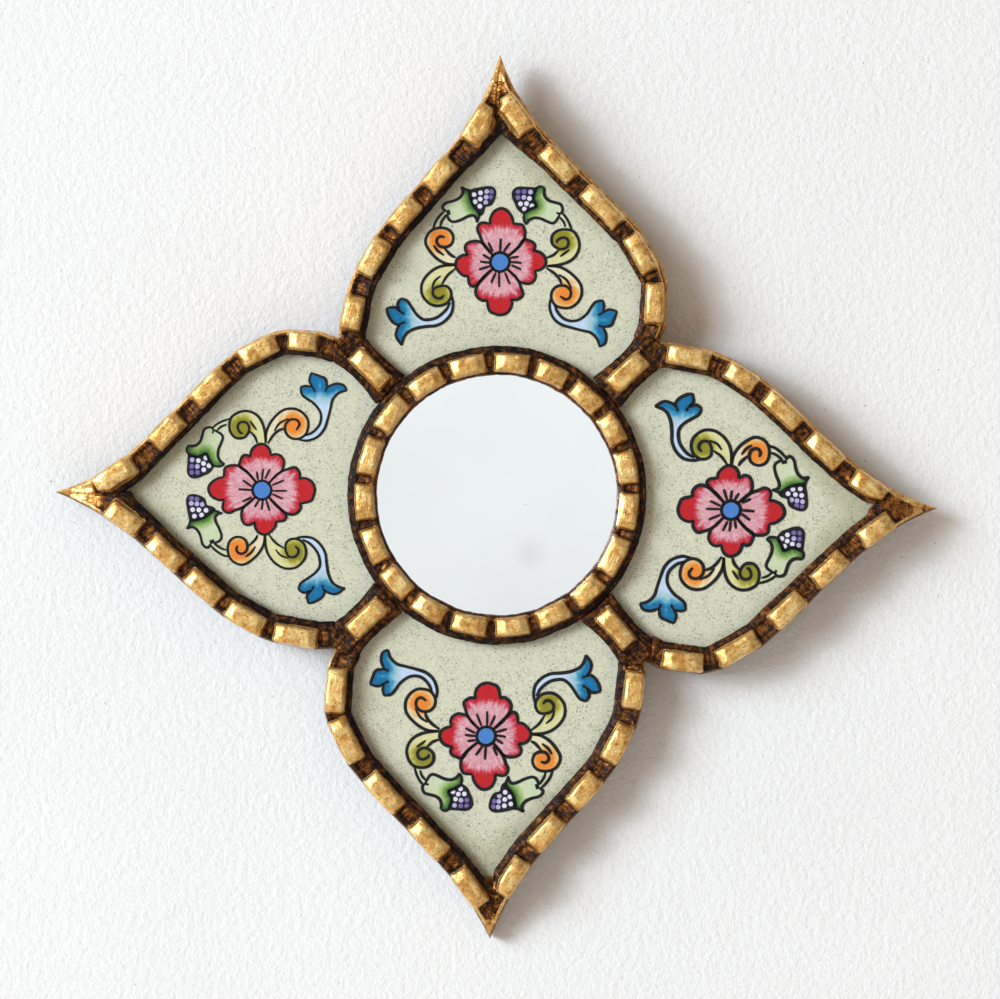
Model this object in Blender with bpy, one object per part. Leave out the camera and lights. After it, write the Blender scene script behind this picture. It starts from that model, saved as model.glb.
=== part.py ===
"""Painted glass mirror: a star of four painted panes round a small looking glass.

The front faces -Y, +Z is up, and the origin is the middle of the board's flat back.
Lengths are in metres. Angles are in degrees, and round the star they run clockwise from the top.
"""

import math

import bmesh
import bpy
from mathutils import Vector
from mathutils.geometry import interpolate_bezier, intersect_line_line_2d

# Outline of the star, cut by hand and so a little uneven
TIP_RADII = (0.125, 0.1252, 0.126, 0.1254)
VALLEY_RADIUS = 0.0633
TIP_HANDLE = 0.0375
VALLEY_HANDLE = 0.037
PETALS = ("top", "right", "bottom", "left")
TIP_TURNS = (0.4, 1.7, 0.9, 0.4)
VALLEY_TURNS = (-0.2, 1.8, 3.3, 1.5)
# Flare of each petal's two sides at the tip and at the valley, first side first
TIP_FLARES = ((16, 15, 20, 21), (18, 21, 26, 16))
VALLEY_FLARES = ((-3, 1, 3, 4), (22, 25, 23, 21))

# Board
BOARD_THICKNESS = 0.007
BOARD_FRONT_ROUND = 0.0009
BOARD_BACK_EASE = 0.0005

# Glass, all cut from one sheet
GLASS_THICKNESS = 0.002
GLASS_EASE = 0.0003
MIRROR_VIEW_RADIUS = 0.0342
PANE_TO_TIP = 0.0178

# Mouldings
LEDGE = 0.0006
BEAD_WIDTH = 0.0054
RING_FILLET = 0.002
SPOKE_FILLET = 0.0022
# Board left bare outside each petal's two mouldings, and the hollow inside them, first side first
EDGE_LEDGES = ((0.0004, 0.0008, 0.0004, 0.0004), (0.0012, 0.0005, 0.0004, 0.0005))
EDGE_FILLETS = ((0.0018, 0.0012, 0.0021, 0.0022), (0.0011, 0.0019, 0.0018, 0.0014))
CORNER_FILL = 0.0034
RING_LIP = 0.0006
EDGE_WEB = 0.003
RING_WEB = 0.0016
SPOKE_WEB = 0.0032
FLANGE_EDGE = 0.0008
SHOULDER_RISE = 0.0016
BEAD_RISE = 0.0028
NOTCH_DIP = 0.0005
NOTCH_LIP = 0.0003
NOTCH_SINK = 0.0005
BEAD_ROUND = 0.0029

# Form of the mouldings, as shares of the size that each one names
BEAD_SQUARENESS = 0.26  # power of the sine over a bead: 1 is a round back, 0 a flat one
BEAD_STEEP_END = 0.2  # share of the rounded end that is steep
BEAD_STEEP_RISE = 0.73  # share of the rise that the steep part takes
BEAD_END_LIMIT = 0.4  # share of a bead that one rounded end may take
CORNER_START = 0.55  # share along a side's last bead at which the hollow starts to fill the corner
SLOPE_SAG = 2 / 3  # how far the hollow slope has dropped halfway out
NARROW_LEDGE = 1 / 3  # parts of the room left where a tip or a valley narrows a moulding
NARROW_FILLET = 1 / 5
NARROW_WEB = 3 / 5

# Where each bead of a petal's two sides starts and ends, as shares of the side from valley to tip
BEAD_SPANS = (
    (
        ((0.028, 0.134), (0.208, 0.333), (0.383, 0.491), (0.540, 0.652), (0.719, 0.846)),
        ((0.028, 0.159), (0.225, 0.328), (0.376, 0.510), (0.557, 0.682), (0.728, 0.841)),
        ((0.030, 0.148), (0.208, 0.337), (0.401, 0.519), (0.570, 0.694), (0.736, 0.865)),
        ((0.056, 0.192), (0.234, 0.362), (0.399, 0.525), (0.556, 0.681), (0.718, 0.838)),
    ),
    (
        ((0.052, 0.173), (0.228, 0.348), (0.400, 0.540), (0.586, 0.707), (0.766, 0.891)),
        ((0.046, 0.166), (0.226, 0.358), (0.423, 0.537), (0.587, 0.704), (0.761, 0.869)),
        ((0.054, 0.185), (0.219, 0.355), (0.415, 0.545), (0.602, 0.729), (0.781, 0.906)),
        ((0.060, 0.150), (0.197, 0.317), (0.386, 0.510), (0.569, 0.684), (0.753, 0.888)),
    ),
)
EDGE_START = 0.0012
TAIL_TO_TIP = 0.0045
TAIL_SHARES = (0.4, 1.0)
TAIL_DROP = 0.75
MITRE_LEAN = 3
# Angles of the notches round the ring
RING_NOTCHES = (
    15.5, 33.1, 51.6, 69.1, 87.2, 106.9, 127.8, 145.7, 164.2, 182.6,
    201.6, 220.0, 238.1, 257.5, 276.8, 297.2, 317.8, 337.5, 356.9,
)
RING_NOTCH = 0.0024
SPOKE_NOTCH = 0.0018
VALLEY_BLOCK = 0.0058
BLOCK_SHARES = (0.6, 0.3, 0.0)

# Hanger, let into the back of the board
HANGER_HEIGHT = 0.075
WIRE_RADIUS = 0.0008
RING_DROP = 0.0112
RING_CORNER = 0.0025
STRAP_WIDTH = 0.009
STRAP_THICKNESS = 0.0007
STRAP_LENGTH = 0.024
STRAP_WRAP = 285
NAIL_DROPS = {"upper": 0.015, "lower": 0.020}
NAIL_RADIUS = 0.0006
NAIL_LENGTH = 0.003
NAIL_HEAD_RADIUS = 0.0016
NAIL_HEAD_THICKNESS = 0.0005
POCKET_CORNER = 0.003

# Clearances
SEAT_GAP = 0.0003
SIDE_GAP = 0.0004
MITRE_GAP = 0.0003
EYE_GAP = 0.00035
RING_GAP = 0.0003
NAIL_GAP = 0.0003
POCKET_GAP = 0.002

# Fineness of the curves
CURVE_STEPS = 160
PANE_STEPS = 14
ARC_STEPS = 5
RIM_STEPS = 64
WIRE_STEPS = 8
NAIL_STEPS = 14
CUT_OVERRUN = 0.002

# Levels above the board's back
SEAT = BOARD_THICKNESS + SEAT_GAP
GLASS_FACE = SEAT + GLASS_THICKNESS
FLANGE = GLASS_FACE + SEAT_GAP
EDGE = FLANGE + FLANGE_EDGE
SHOULDER = FLANGE + SHOULDER_RISE
CROWN = SHOULDER + BEAD_RISE

# Radii of the ring round the mirror
RING_BEAD = MIRROR_VIEW_RADIUS + RING_LIP
RING_MIDDLE = RING_BEAD + BEAD_WIDTH / 2
RING_OUTER = RING_BEAD + BEAD_WIDTH + RING_FILLET
MIRROR_RADIUS = RING_MIDDLE - RING_WEB / 2 - SIDE_GAP
PANE_RADIUS = RING_MIDDLE + RING_WEB / 2 + SIDE_GAP

# Half width of the spokes and where the panes stop under the mouldings
SPOKE_HALF = BEAD_WIDTH / 2 + SPOKE_FILLET
PANE_FROM_WEB = EDGE_WEB + SIDE_GAP
PANE_FROM_SPOKE = SPOKE_WEB / 2 + SIDE_GAP
PANE_RUN_ON = 4 * EDGE_WEB

# The hanger's eye lies midway down its pocket
EYE_INNER = WIRE_RADIUS + EYE_GAP
EYE_OUTER = EYE_INNER + STRAP_THICKNESS
POCKET_DEPTH = 2 * (EYE_OUTER + SEAT_GAP)
HANGER_AXIS = Vector((0, -POCKET_DEPTH / 2, HANGER_HEIGHT))
RING_HALF = STRAP_WIDTH / 2 + RING_GAP + RING_CORNER
STRAP_FACE = POCKET_DEPTH - SEAT_GAP - STRAP_THICKNESS


def clear_scene():
    for item in list(bpy.data.objects):
        bpy.data.objects.remove(item, do_unlink=True)


def material(name, colour, roughness, metallic=0.0):
    made = bpy.data.materials.new(name)
    made.use_nodes = True
    shader = made.node_tree.nodes["Principled BSDF"]
    shader.inputs["Base Color"].default_value = (*colour, 1)
    shader.inputs["Roughness"].default_value = roughness
    shader.inputs["Metallic"].default_value = metallic
    made.diffuse_color = (*colour, 1)
    return made


def skin(sections, closed=False):
    """Mesh of a body through sections that have the same number of points."""
    shape = bmesh.new()
    rows = [[shape.verts.new(point) for point in section] for section in sections]
    pairs = list(zip(rows, rows[1:]))
    if closed:
        pairs.append((rows[-1], rows[0]))
    else:
        shape.faces.new(rows[0])
        shape.faces.new(rows[-1])
    for one, two in pairs:
        for here, there in zip(range(len(one)), range(1 - len(one), 1)):
            shape.faces.new((one[here], one[there], two[there], two[here]))
    bmesh.ops.recalc_face_normals(shape, faces=shape.faces)
    mesh = bpy.data.meshes.new("skin")
    shape.to_mesh(mesh)
    shape.free()
    return mesh


def add_object(name, mesh, finish, parent=None, smooth_angle=35):
    mesh.name = name
    mesh.shade_smooth()
    mesh.set_sharp_from_angle(angle=math.radians(smooth_angle))
    if finish:
        mesh.materials.append(finish)
    item = bpy.data.objects.new(name, mesh)
    item.parent = parent
    bpy.context.scene.collection.objects.link(item)
    return item


def cut(target, name, mesh):
    """Take a hidden cutter away from an object."""
    cutter = add_object(name, mesh, None)
    cutter.hide_render = True
    cutter.display_type = "WIRE"
    cutter.hide_set(True)
    modifier = target.modifiers.new(name, "BOOLEAN")
    modifier.operation = "DIFFERENCE"
    modifier.solver = "EXACT"
    modifier.object = cutter


def polar(radius, degrees):
    """Point on the star's plane, as x and z, at an angle clockwise from the top."""
    turn = math.radians(degrees)
    return Vector((radius * math.sin(turn), radius * math.cos(turn)))


def clockwise(direction):
    """The direction a quarter turn clockwise from the one given."""
    return Vector((direction.y, -direction.x))


def lift(point, height):
    """Point of the star's plane raised from the board's back."""
    return Vector((point.x, -height, point.y))


def tip_of(petal):
    return polar(TIP_RADII[petal], 90 * petal + TIP_TURNS[petal])


def valley_of(valley):
    """Corner between two petals, the first one between the left petal and the top one."""
    valley = valley % 4
    return polar(VALLEY_RADIUS, 90 * valley - 45 + VALLEY_TURNS[valley])


def petal_side(petal, side):
    """Curve of one side of a petal, from its valley to its tip."""
    tip = tip_of(petal)
    valley = valley_of(petal + side)
    along = tip.normalized()
    across = clockwise(along) * (1 if side else -1)
    flare = math.radians(VALLEY_FLARES[side][petal])
    valley_handle = valley + VALLEY_HANDLE * (math.sin(flare) * across + math.cos(flare) * along)
    flare = math.radians(TIP_FLARES[side][petal])
    tip_handle = tip + TIP_HANDLE * (math.sin(flare) * across - math.cos(flare) * along)
    return interpolate_bezier(valley, valley_handle, tip_handle, tip, CURVE_STEPS)


def curve_length(points):
    return sum((there - here).length for here, there in zip(points, points[1:]))


def point_along(points, distance):
    """Point at a distance from the start of a curve."""
    for here, there in zip(points, points[1:]):
        length = (there - here).length
        if distance <= length:
            break
        distance -= length
    return here.lerp(there, distance / length)


def side_stations(petal, side):
    """Points along a petal's side, each with its direction inward.

    The first starts the edge moulding, two lie at the ends of each straight bead, which is laid
    halfway between its chord and the curve, and the last two carry the tail towards the tip.
    """
    curve = petal_side(petal, side)
    turn = -1 if side else 1
    length = curve_length(curve)
    stations = []
    for first, last in BEAD_SPANS[side][petal]:
        reach = last * length
        start, middle, end = (point_along(curve, share * length) for share in (first, (first + last) / 2, last))
        inward = turn * clockwise((end - start).normalized())
        bow = (middle - start.lerp(end, 0.5)) / 2
        stations += [(start + bow, inward), (end + bow, inward)]
    stations.insert(0, (point_along(curve, EDGE_START), stations[0][1]))
    before = stations[-1][0]
    for share in TAIL_SHARES:
        point = point_along(curve, reach + (length - TAIL_TO_TIP - reach) * share)
        stations.append((point, turn * clockwise((point - before).normalized())))
        before = point
    return stations


def first_crossing(one, two):
    """Where two runs of points first cross, and how many points of the first come before it."""
    for count, (here, there) in enumerate(zip(one, one[1:]), start=1):
        for start, end in zip(two, two[1:]):
            point = intersect_line_line_2d(here, there, start, end)
            if point:
                return point, count
    raise ValueError("the two curves do not cross")


def star_outline(inset):
    """Board's outline, drawn in by a distance, or by half the way to the axis where a tip is narrow."""
    outline = []
    for petal in range(4):
        along = tip_of(petal).normalized()
        sides = []
        for side in (0, 1):
            valley = valley_of(petal + side)
            drawn = [valley - inset * valley.normalized()]
            for point, inward in side_stations(petal, side)[1:]:
                room = abs(point.dot(clockwise(along)))
                drawn.append(point + min(inset, room / 2) * inward)
            sides.append(drawn)
        tip = tip_of(petal) - 2 * inset * along
        outline += sides[0] + [tip] + sides[1][:0:-1]
    return outline


def backing_board(parent):
    bend = BOARD_FRONT_ROUND * (1 - math.sqrt(0.5))
    rings = (
        (BOARD_BACK_EASE, 0),
        (0, BOARD_BACK_EASE),
        (0, BOARD_THICKNESS - BOARD_FRONT_ROUND),
        (bend, BOARD_THICKNESS - bend),
        (BOARD_FRONT_ROUND, BOARD_THICKNESS),
    )
    mesh = skin([[lift(point, height) for point in star_outline(inset)] for inset, height in rings])
    finish = material("gilded wood", (0.62, 0.42, 0.13), 0.42)
    board = add_object("backing_board", mesh, finish, parent)
    cut(board, "pocket_cutter", hanger_pocket())
    for name, drop in NAIL_DROPS.items():
        depth = STRAP_FACE - SEAT_GAP + NAIL_LENGTH + NAIL_GAP
        hole = nail_hole(drop, POCKET_DEPTH - CUT_OVERRUN, depth)
        cut(board, name + "_nail_hole_cutter", hole)


def rim(radius, height):
    return [lift(polar(radius, 360 * step / RIM_STEPS), height) for step in range(RIM_STEPS)]


def mirror_disc(parent):
    mesh = skin(
        [
            rim(MIRROR_RADIUS - GLASS_EASE, SEAT),
            rim(MIRROR_RADIUS, SEAT + GLASS_EASE),
            rim(MIRROR_RADIUS, GLASS_FACE - GLASS_EASE),
            rim(MIRROR_RADIUS - GLASS_EASE, GLASS_FACE),
        ]
    )
    add_object("mirror_disc", mesh, material("mirror glass", (0.85, 0.86, 0.88), 0.04, 1.0), parent)


def spoke_line(valley, offset):
    """Line beside a spoke's axis, from inside the ring to past the valley."""
    along = valley_of(valley).normalized()
    side = offset * clockwise(along)
    return [along * RING_MIDDLE + side, along * (VALLEY_RADIUS + PANE_RUN_ON) + side]


def pane_side(petal, side):
    """Edge of a pane under a petal's edge moulding, run on straight past the valley."""
    inset = EDGE_LEDGES[side][petal] + PANE_FROM_WEB
    drawn = [point + inset * inward for point, inward in side_stations(petal, side)]
    run_on = (drawn[1] - drawn[2]).normalized() * PANE_RUN_ON
    return [drawn[0] + run_on] + drawn


def pane_outline(petal):
    """Pane's edge: the two petal sides, a blunt tip, the two spokes and the ring."""
    tip = tip_of(petal)
    along = tip.normalized()
    blunt = tip - PANE_TO_TIP * along
    half = VALLEY_RADIUS * clockwise(along)
    outline = []
    for side, offset in ((0, PANE_FROM_SPOKE), (1, -PANE_FROM_SPOKE)):
        edge = pane_side(petal, side)
        spoke = spoke_line(petal + side, offset)
        corner, start = first_crossing(edge, spoke)
        end_point, end = first_crossing(edge, [blunt - half, blunt + half])
        reach = math.sqrt(PANE_RADIUS**2 - PANE_FROM_SPOKE**2)
        foot = spoke[0] + (reach - RING_MIDDLE) * (spoke[1] - spoke[0]).normalized()
        run = [foot, corner] + edge[start:end] + [end_point]
        outline += run if side == 0 else run[::-1]
    first, last = (math.degrees(math.atan2(foot.x, foot.y)) for foot in (outline[0], outline[-1]))
    sweep = (last - first) % 360
    arc = [polar(PANE_RADIUS, last - sweep * step / PANE_STEPS) for step in range(1, PANE_STEPS)]
    return outline + arc


def painted_pane(parent, petal):
    outline = pane_outline(petal)
    mesh = skin([[lift(point, height) for point in outline] for height in (SEAT, GLASS_FACE)])
    finish = material(PETALS[petal] + " painted glass", (0.66, 0.68, 0.55), 0.12)
    add_object(PETALS[petal] + "_painted_pane", mesh, finish, parent)


def bead_steps(length):
    """Shares along a bead and how much of its rise it has there."""
    end = min(BEAD_ROUND / length, BEAD_END_LIMIT)
    steep = BEAD_STEEP_END * end
    climb = ((0, 0), (steep, BEAD_STEEP_RISE), (end, 1))
    return climb + tuple((1 - share, rise) for share, rise in climb[::-1])


def bead_top(start, end, rise):
    """Points over a bead or a notch, from shoulder to shoulder.

    A notch is sunk between two shoulders, with a low lip along the one it starts from.
    """
    points = []
    for step in range(ARC_STEPS + 1):
        turn = math.pi * step / ARC_STEPS
        across = start + (end - start) * (1 - math.cos(turn)) / 2
        bead = BEAD_RISE * abs(math.sin(turn)) ** BEAD_SQUARENESS
        notch = NOTCH_LIP if step == 1 else -NOTCH_SINK if 1 < step < ARC_STEPS else 0
        points.append((across, SHOULDER + notch + (bead - notch) * rise))
    return points


def fillet_side(bead_edge, outer_edge):
    """Hollow slope from a bead's shoulder to a flange's edge, and the edge's underside."""
    sag = SHOULDER + SLOPE_SAG * (EDGE - SHOULDER)
    return [((bead_edge + outer_edge) / 2, sag), (outer_edge, EDGE), (outer_edge, FLANGE)]


def edge_section(width, rise, lowered):
    """Section of an edge moulding: places in from its outer edge, and heights."""
    fillet = max(width - BEAD_WIDTH, NARROW_FILLET * width)
    dip = min(NOTCH_DIP, NARROW_FILLET * width) * (1 - rise)
    web = min(EDGE_WEB, NARROW_WEB * width)
    points = [(dip, SEAT)]
    points += bead_top(dip, width - fillet, rise)
    points += fillet_side(width - fillet, width)
    points += [(web, FLANGE), (web, SEAT)]
    return [(place, SEAT + (height - SEAT) * lowered) for place, height in points]


def edge_stations(petal, side):
    """Places along an edge moulding: point, direction inward, rise, lowering and corner fill."""
    ends = side_stations(petal, side)
    point, inward = ends[0]
    stations = [(point, inward, 0, 1, 0)]
    for (start, inward), (end, _) in zip(ends[1:-2:2], ends[2:-2:2]):
        steps = list(bead_steps((end - start).length))
        last = end is ends[-3][0]
        if last:
            steps.insert(len(steps) // 2, (CORNER_START, 1))
        for share, rise in steps:
            fill = max(share - CORNER_START, 0) / (1 - CORNER_START) if last else 0
            stations.append((start.lerp(end, share), inward, rise, 1, CORNER_FILL * fill))
    for (point, inward), share in zip(ends[-2:], TAIL_SHARES):
        stations.append((point, inward, 0, 1 - TAIL_DROP * share, CORNER_FILL))
    return stations


def room_to_mitre(point, inward, petal, side):
    """Distance inward to the line on which a petal's two edge mouldings meet."""
    tip = tip_of(petal)
    turn = math.radians(MITRE_LEAN)
    along = tip.normalized()
    across = math.cos(turn) * clockwise(along) - math.sin(turn) * along
    across *= -1 if side else 1
    facing = inward.dot(across)
    if facing <= 0:
        return VALLEY_RADIUS
    return ((tip - point).dot(across) - MITRE_GAP / 2) / facing


def edge_moulding(parent, petal, side):
    sections = []
    full_width = BEAD_WIDTH + EDGE_FILLETS[side][petal]
    for point, inward, rise, lowered, fill in edge_stations(petal, side):
        room = room_to_mitre(point, inward, petal, side)
        ledge = min(EDGE_LEDGES[side][petal], NARROW_LEDGE * room)
        outer = point + ledge * inward
        width = min(full_width + fill, room - ledge)
        section = edge_section(width, rise, lowered)
        sections.append([lift(outer + place * inward, height) for place, height in section])
    side_name = (("left", "right"), ("upper", "lower"), ("right", "left"), ("lower", "upper"))[petal][side]
    name = PETALS[petal] + "_petal_" + side_name + "_moulding"
    finish = material(name.replace("_", " "), (0.66, 0.45, 0.12), 0.38, 0.6)
    add_object(name, skin(sections), finish, parent, 50)


def mirror_ring_moulding(parent):
    web_inner = RING_MIDDLE - RING_WEB / 2
    web_outer = RING_MIDDLE + RING_WEB / 2
    bead_end = RING_BEAD + BEAD_WIDTH
    gap = math.degrees(RING_NOTCH / RING_MIDDLE)
    sections = []
    for before, after in zip(RING_NOTCHES, RING_NOTCHES[1:] + (RING_NOTCHES[0] + 360,)):
        sweep = after - before - gap
        for share, rise in bead_steps(math.radians(sweep) * RING_MIDDLE):
            section = [(web_inner, SEAT), (web_inner, FLANGE)]
            section += [(MIRROR_VIEW_RADIUS, FLANGE), (MIRROR_VIEW_RADIUS, EDGE)]
            section += bead_top(RING_BEAD, bead_end, rise)
            section += fillet_side(bead_end, RING_OUTER)
            section += [(web_outer, FLANGE), (web_outer, SEAT)]
            angle = before + gap / 2 + sweep * share
            sections.append([lift(polar(radius, angle), height) for radius, height in section])
    finish = material("mirror ring moulding", (0.66, 0.45, 0.12), 0.38, 0.6)
    add_object("mirror_ring_moulding", skin(sections, closed=True), finish, parent, 50)


def spoke_room(valley, radius, side):
    """Half width that the edge moulding beside a spoke leaves it at a radius."""
    along = valley_of(valley).normalized()
    across = clockwise(along) * side
    petal, petal_edge = (valley, 0) if side > 0 else ((valley - 1) % 4, 1)
    start, inward = side_stations(petal, petal_edge)[0]
    forward = clockwise(inward) * -side
    return ((start - radius * along).dot(forward) - MITRE_GAP) / across.dot(forward)


def spoke_section(left, right, rise):
    """Section of a spoke: places across it and heights, for its half widths to the two sides."""
    right_bead, left_bead = (min(BEAD_WIDTH / 2, width * (1 - NARROW_FILLET)) for width in (right, left))
    right_web, left_web = (min(SPOKE_WEB / 2, NARROW_WEB * width) for width in (right, left))
    right_half = fillet_side(right_bead, right) + [(right_web, FLANGE), (right_web, SEAT)]
    left_half = fillet_side(left_bead, left) + [(left_web, FLANGE), (left_web, SEAT)]
    points = right_half + [(-place, height) for place, height in left_half[::-1]]
    return points + bead_top(-left_bead, right_bead, rise)


def spoke(parent, valley):
    along = valley_of(valley).normalized()
    across = clockwise(along)
    start = RING_OUTER + MITRE_GAP
    end = VALLEY_RADIUS - LEDGE
    bead_start = start + SPOKE_NOTCH
    bead_end = end - VALLEY_BLOCK
    length = bead_end - bead_start
    places = [(start, 0)]
    places += [(bead_start + share * length, rise) for share, rise in bead_steps(length)]
    places += [(end - VALLEY_BLOCK * share, 0) for share in BLOCK_SHARES]
    sections = []
    for radius, rise in places:
        left, right = (min(SPOKE_HALF, spoke_room(valley, radius, side)) for side in (-1, 1))
        section = spoke_section(left, right, rise)
        sections.append([lift(radius * along + place * across, height) for place, height in section])
    name = ("upper_left", "upper_right", "lower_right", "lower_left")[valley] + "_spoke"
    finish = material(name.replace("_", " "), (0.62, 0.42, 0.11), 0.4, 0.6)
    add_object(name, skin(sections), finish, parent, 50)


def rounded_rectangle(half_width, low, high, corner, steps=5):
    """Outline on the star's plane with four equal round corners, clockwise from the upper right."""
    centres = (
        (half_width - corner, high - corner),
        (half_width - corner, low + corner),
        (corner - half_width, low + corner),
        (corner - half_width, high - corner),
    )
    points = []
    for quarter, centre in enumerate(centres):
        for step in range(steps + 1):
            points.append(Vector(centre) + polar(corner, 90 * (quarter + step / steps)))
    return points


def hanger_pocket():
    low = HANGER_HEIGHT - STRAP_LENGTH - POCKET_GAP
    high = HANGER_HEIGHT + RING_DROP + WIRE_RADIUS + POCKET_GAP
    half_width = RING_HALF + WIRE_RADIUS + POCKET_GAP
    outline = rounded_rectangle(half_width, low, high, POCKET_CORNER)
    return skin([[lift(point, height) for point in outline] for height in (-CUT_OVERRUN, POCKET_DEPTH)])


def turned(drop, profile):
    """Round body on a nail's axis: radii and heights from the board's back."""
    centre = Vector((0, HANGER_HEIGHT - drop))
    rings = []
    for radius, height in profile:
        turns = [360 * step / NAIL_STEPS for step in range(NAIL_STEPS)]
        rings.append([lift(centre + polar(radius, turn), height) for turn in turns])
    return skin(rings)


def nail_hole(drop, start, end):
    radius = NAIL_RADIUS + NAIL_GAP
    return turned(drop, ((radius, start), (radius, end)))


def hanger_nail(parent, name):
    head = STRAP_FACE - SEAT_GAP
    point = head + NAIL_LENGTH
    profile = (
        (NAIL_RADIUS / 4, point),
        (NAIL_RADIUS, point - 2 * NAIL_RADIUS),
        (NAIL_RADIUS, head),
        (NAIL_HEAD_RADIUS, head),
        (NAIL_HEAD_RADIUS, head - NAIL_HEAD_THICKNESS / 2),
        (NAIL_HEAD_RADIUS * 0.7, head - NAIL_HEAD_THICKNESS),
    )
    finish = material(name + " nail steel", (0.32, 0.3, 0.28), 0.45, 1.0)
    add_object("hanger_nail_" + name, turned(NAIL_DROPS[name], profile), finish, parent)


def hanger_strap(parent):
    """Strip of metal folded round the ring's top bar and laid flat down the pocket."""
    steps = 20
    turns = [math.radians(STRAP_WRAP * step / steps) for step in range(steps + 1)]
    profile = [(EYE_OUTER, -STRAP_LENGTH)]
    profile += [(EYE_OUTER * math.cos(turn), EYE_OUTER * math.sin(turn)) for turn in turns]
    profile += [(EYE_INNER * math.cos(turn), EYE_INNER * math.sin(turn)) for turn in turns[::-1]]
    profile += [(EYE_INNER, -STRAP_LENGTH)]
    sections = []
    for x in (-STRAP_WIDTH / 2, STRAP_WIDTH / 2):
        sections.append([HANGER_AXIS + Vector((x, -depth, height)) for depth, height in profile])
    finish = material("hanger strap steel", (0.45, 0.43, 0.4), 0.4, 1.0)
    strap = add_object("hanger_strap", skin(sections), finish, parent)
    for name, drop in NAIL_DROPS.items():
        hole = nail_hole(drop, STRAP_FACE - CUT_OVERRUN, POCKET_DEPTH + CUT_OVERRUN)
        cut(strap, name + "_strap_hole_cutter", hole)


def hanger_ring(parent):
    """Wire ring, hanging down from its axis."""
    path = rounded_rectangle(RING_HALF, -RING_DROP, 0, RING_CORNER)
    sections = []
    for before, here, after in zip(path[-1:] + path[:-1], path, path[1:] + path[:1]):
        outward = ((after - here).normalized() - (before - here).normalized()).orthogonal().normalized()
        wire = []
        for step in range(WIRE_STEPS):
            around = polar(WIRE_RADIUS, 360 * (step + 0.5) / WIRE_STEPS)
            wire.append(lift(here + around.x * outward, around.y))
        sections.append(wire)
    finish = material("hanger ring steel", (0.45, 0.43, 0.4), 0.35, 1.0)
    ring = add_object("hanger_ring", skin(sections, closed=True), finish, parent, 60)
    ring.location = HANGER_AXIS


def build():
    clear_scene()
    root = bpy.data.objects.new("painted_glass_mirror", None)
    bpy.context.scene.collection.objects.link(root)
    backing_board(root)
    mirror_disc(root)
    mirror_ring_moulding(root)
    for quarter in range(4):
        painted_pane(root, quarter)
        spoke(root, quarter)
        for side in (0, 1):
            edge_moulding(root, quarter, side)
    hanger_strap(root)
    hanger_ring(root)
    for name in NAIL_DROPS:
        hanger_nail(root, name)


build()
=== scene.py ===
# %% [markdown]
# # Dressing the painted glass mirror
# The packed model gives every piece its place: a star-shaped board, a round looking glass, four
# painted panes, gilded mouldings and a hanger behind. This lesson keeps those places and gives
# the pieces their real surfaces: bronze leaf, dark varnish, paint behind glass, and silver.

# %% Load the packed model
import math

import bmesh
import bpy
import numpy as np
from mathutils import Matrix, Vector, kdtree, noise
from mathutils.geometry import delaunay_2d_cdt, interpolate_bezier


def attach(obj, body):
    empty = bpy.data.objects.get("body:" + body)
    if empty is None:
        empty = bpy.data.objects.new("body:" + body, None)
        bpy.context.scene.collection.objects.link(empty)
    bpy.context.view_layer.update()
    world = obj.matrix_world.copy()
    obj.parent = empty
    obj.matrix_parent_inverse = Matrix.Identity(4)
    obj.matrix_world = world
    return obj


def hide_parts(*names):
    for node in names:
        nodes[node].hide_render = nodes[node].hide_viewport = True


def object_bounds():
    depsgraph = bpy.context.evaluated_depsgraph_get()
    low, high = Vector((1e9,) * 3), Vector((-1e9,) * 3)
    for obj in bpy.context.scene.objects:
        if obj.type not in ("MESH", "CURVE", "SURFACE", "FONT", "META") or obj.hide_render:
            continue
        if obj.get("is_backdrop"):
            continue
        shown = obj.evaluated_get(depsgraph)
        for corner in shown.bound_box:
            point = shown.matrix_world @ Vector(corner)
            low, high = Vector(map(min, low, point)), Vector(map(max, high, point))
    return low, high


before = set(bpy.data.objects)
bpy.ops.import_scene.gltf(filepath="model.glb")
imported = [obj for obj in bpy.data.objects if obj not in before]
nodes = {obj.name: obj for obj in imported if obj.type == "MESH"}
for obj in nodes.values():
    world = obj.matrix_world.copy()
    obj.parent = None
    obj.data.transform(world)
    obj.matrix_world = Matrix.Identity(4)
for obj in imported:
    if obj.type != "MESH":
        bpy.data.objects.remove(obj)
cad_low, cad_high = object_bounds()
MM = 0.001
cad_box = [round(side / MM, 1) for side in cad_high - cad_low]
print(len(nodes), "CAD nodes in a box of", cad_box, "mm")

# %% [markdown]
# ## Camera
# The mirror was photographed straight on. A long lens from a little over a metre away keeps the
# petals free of distortion. The aim comes from one measured pixel, the middle of the star, so
# the picture needs no shift and the camera can be walked round the piece in other views.

# %% Place the camera
scene = bpy.context.scene
scene.view_settings.view_transform = "Standard"
IMAGE_SIZE = (1000, 999)
STAR_PIXEL = (497, 495)  # the middle of the star in the photograph
PIXEL = 0.28377 * MM  # what one pixel shows at the mouldings
CAMERA_DISTANCE = 1.2
SENSOR = 36
FACE_PLANE = 7 * MM  # the plane in which the pixels were measured, in front of the back

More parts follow.
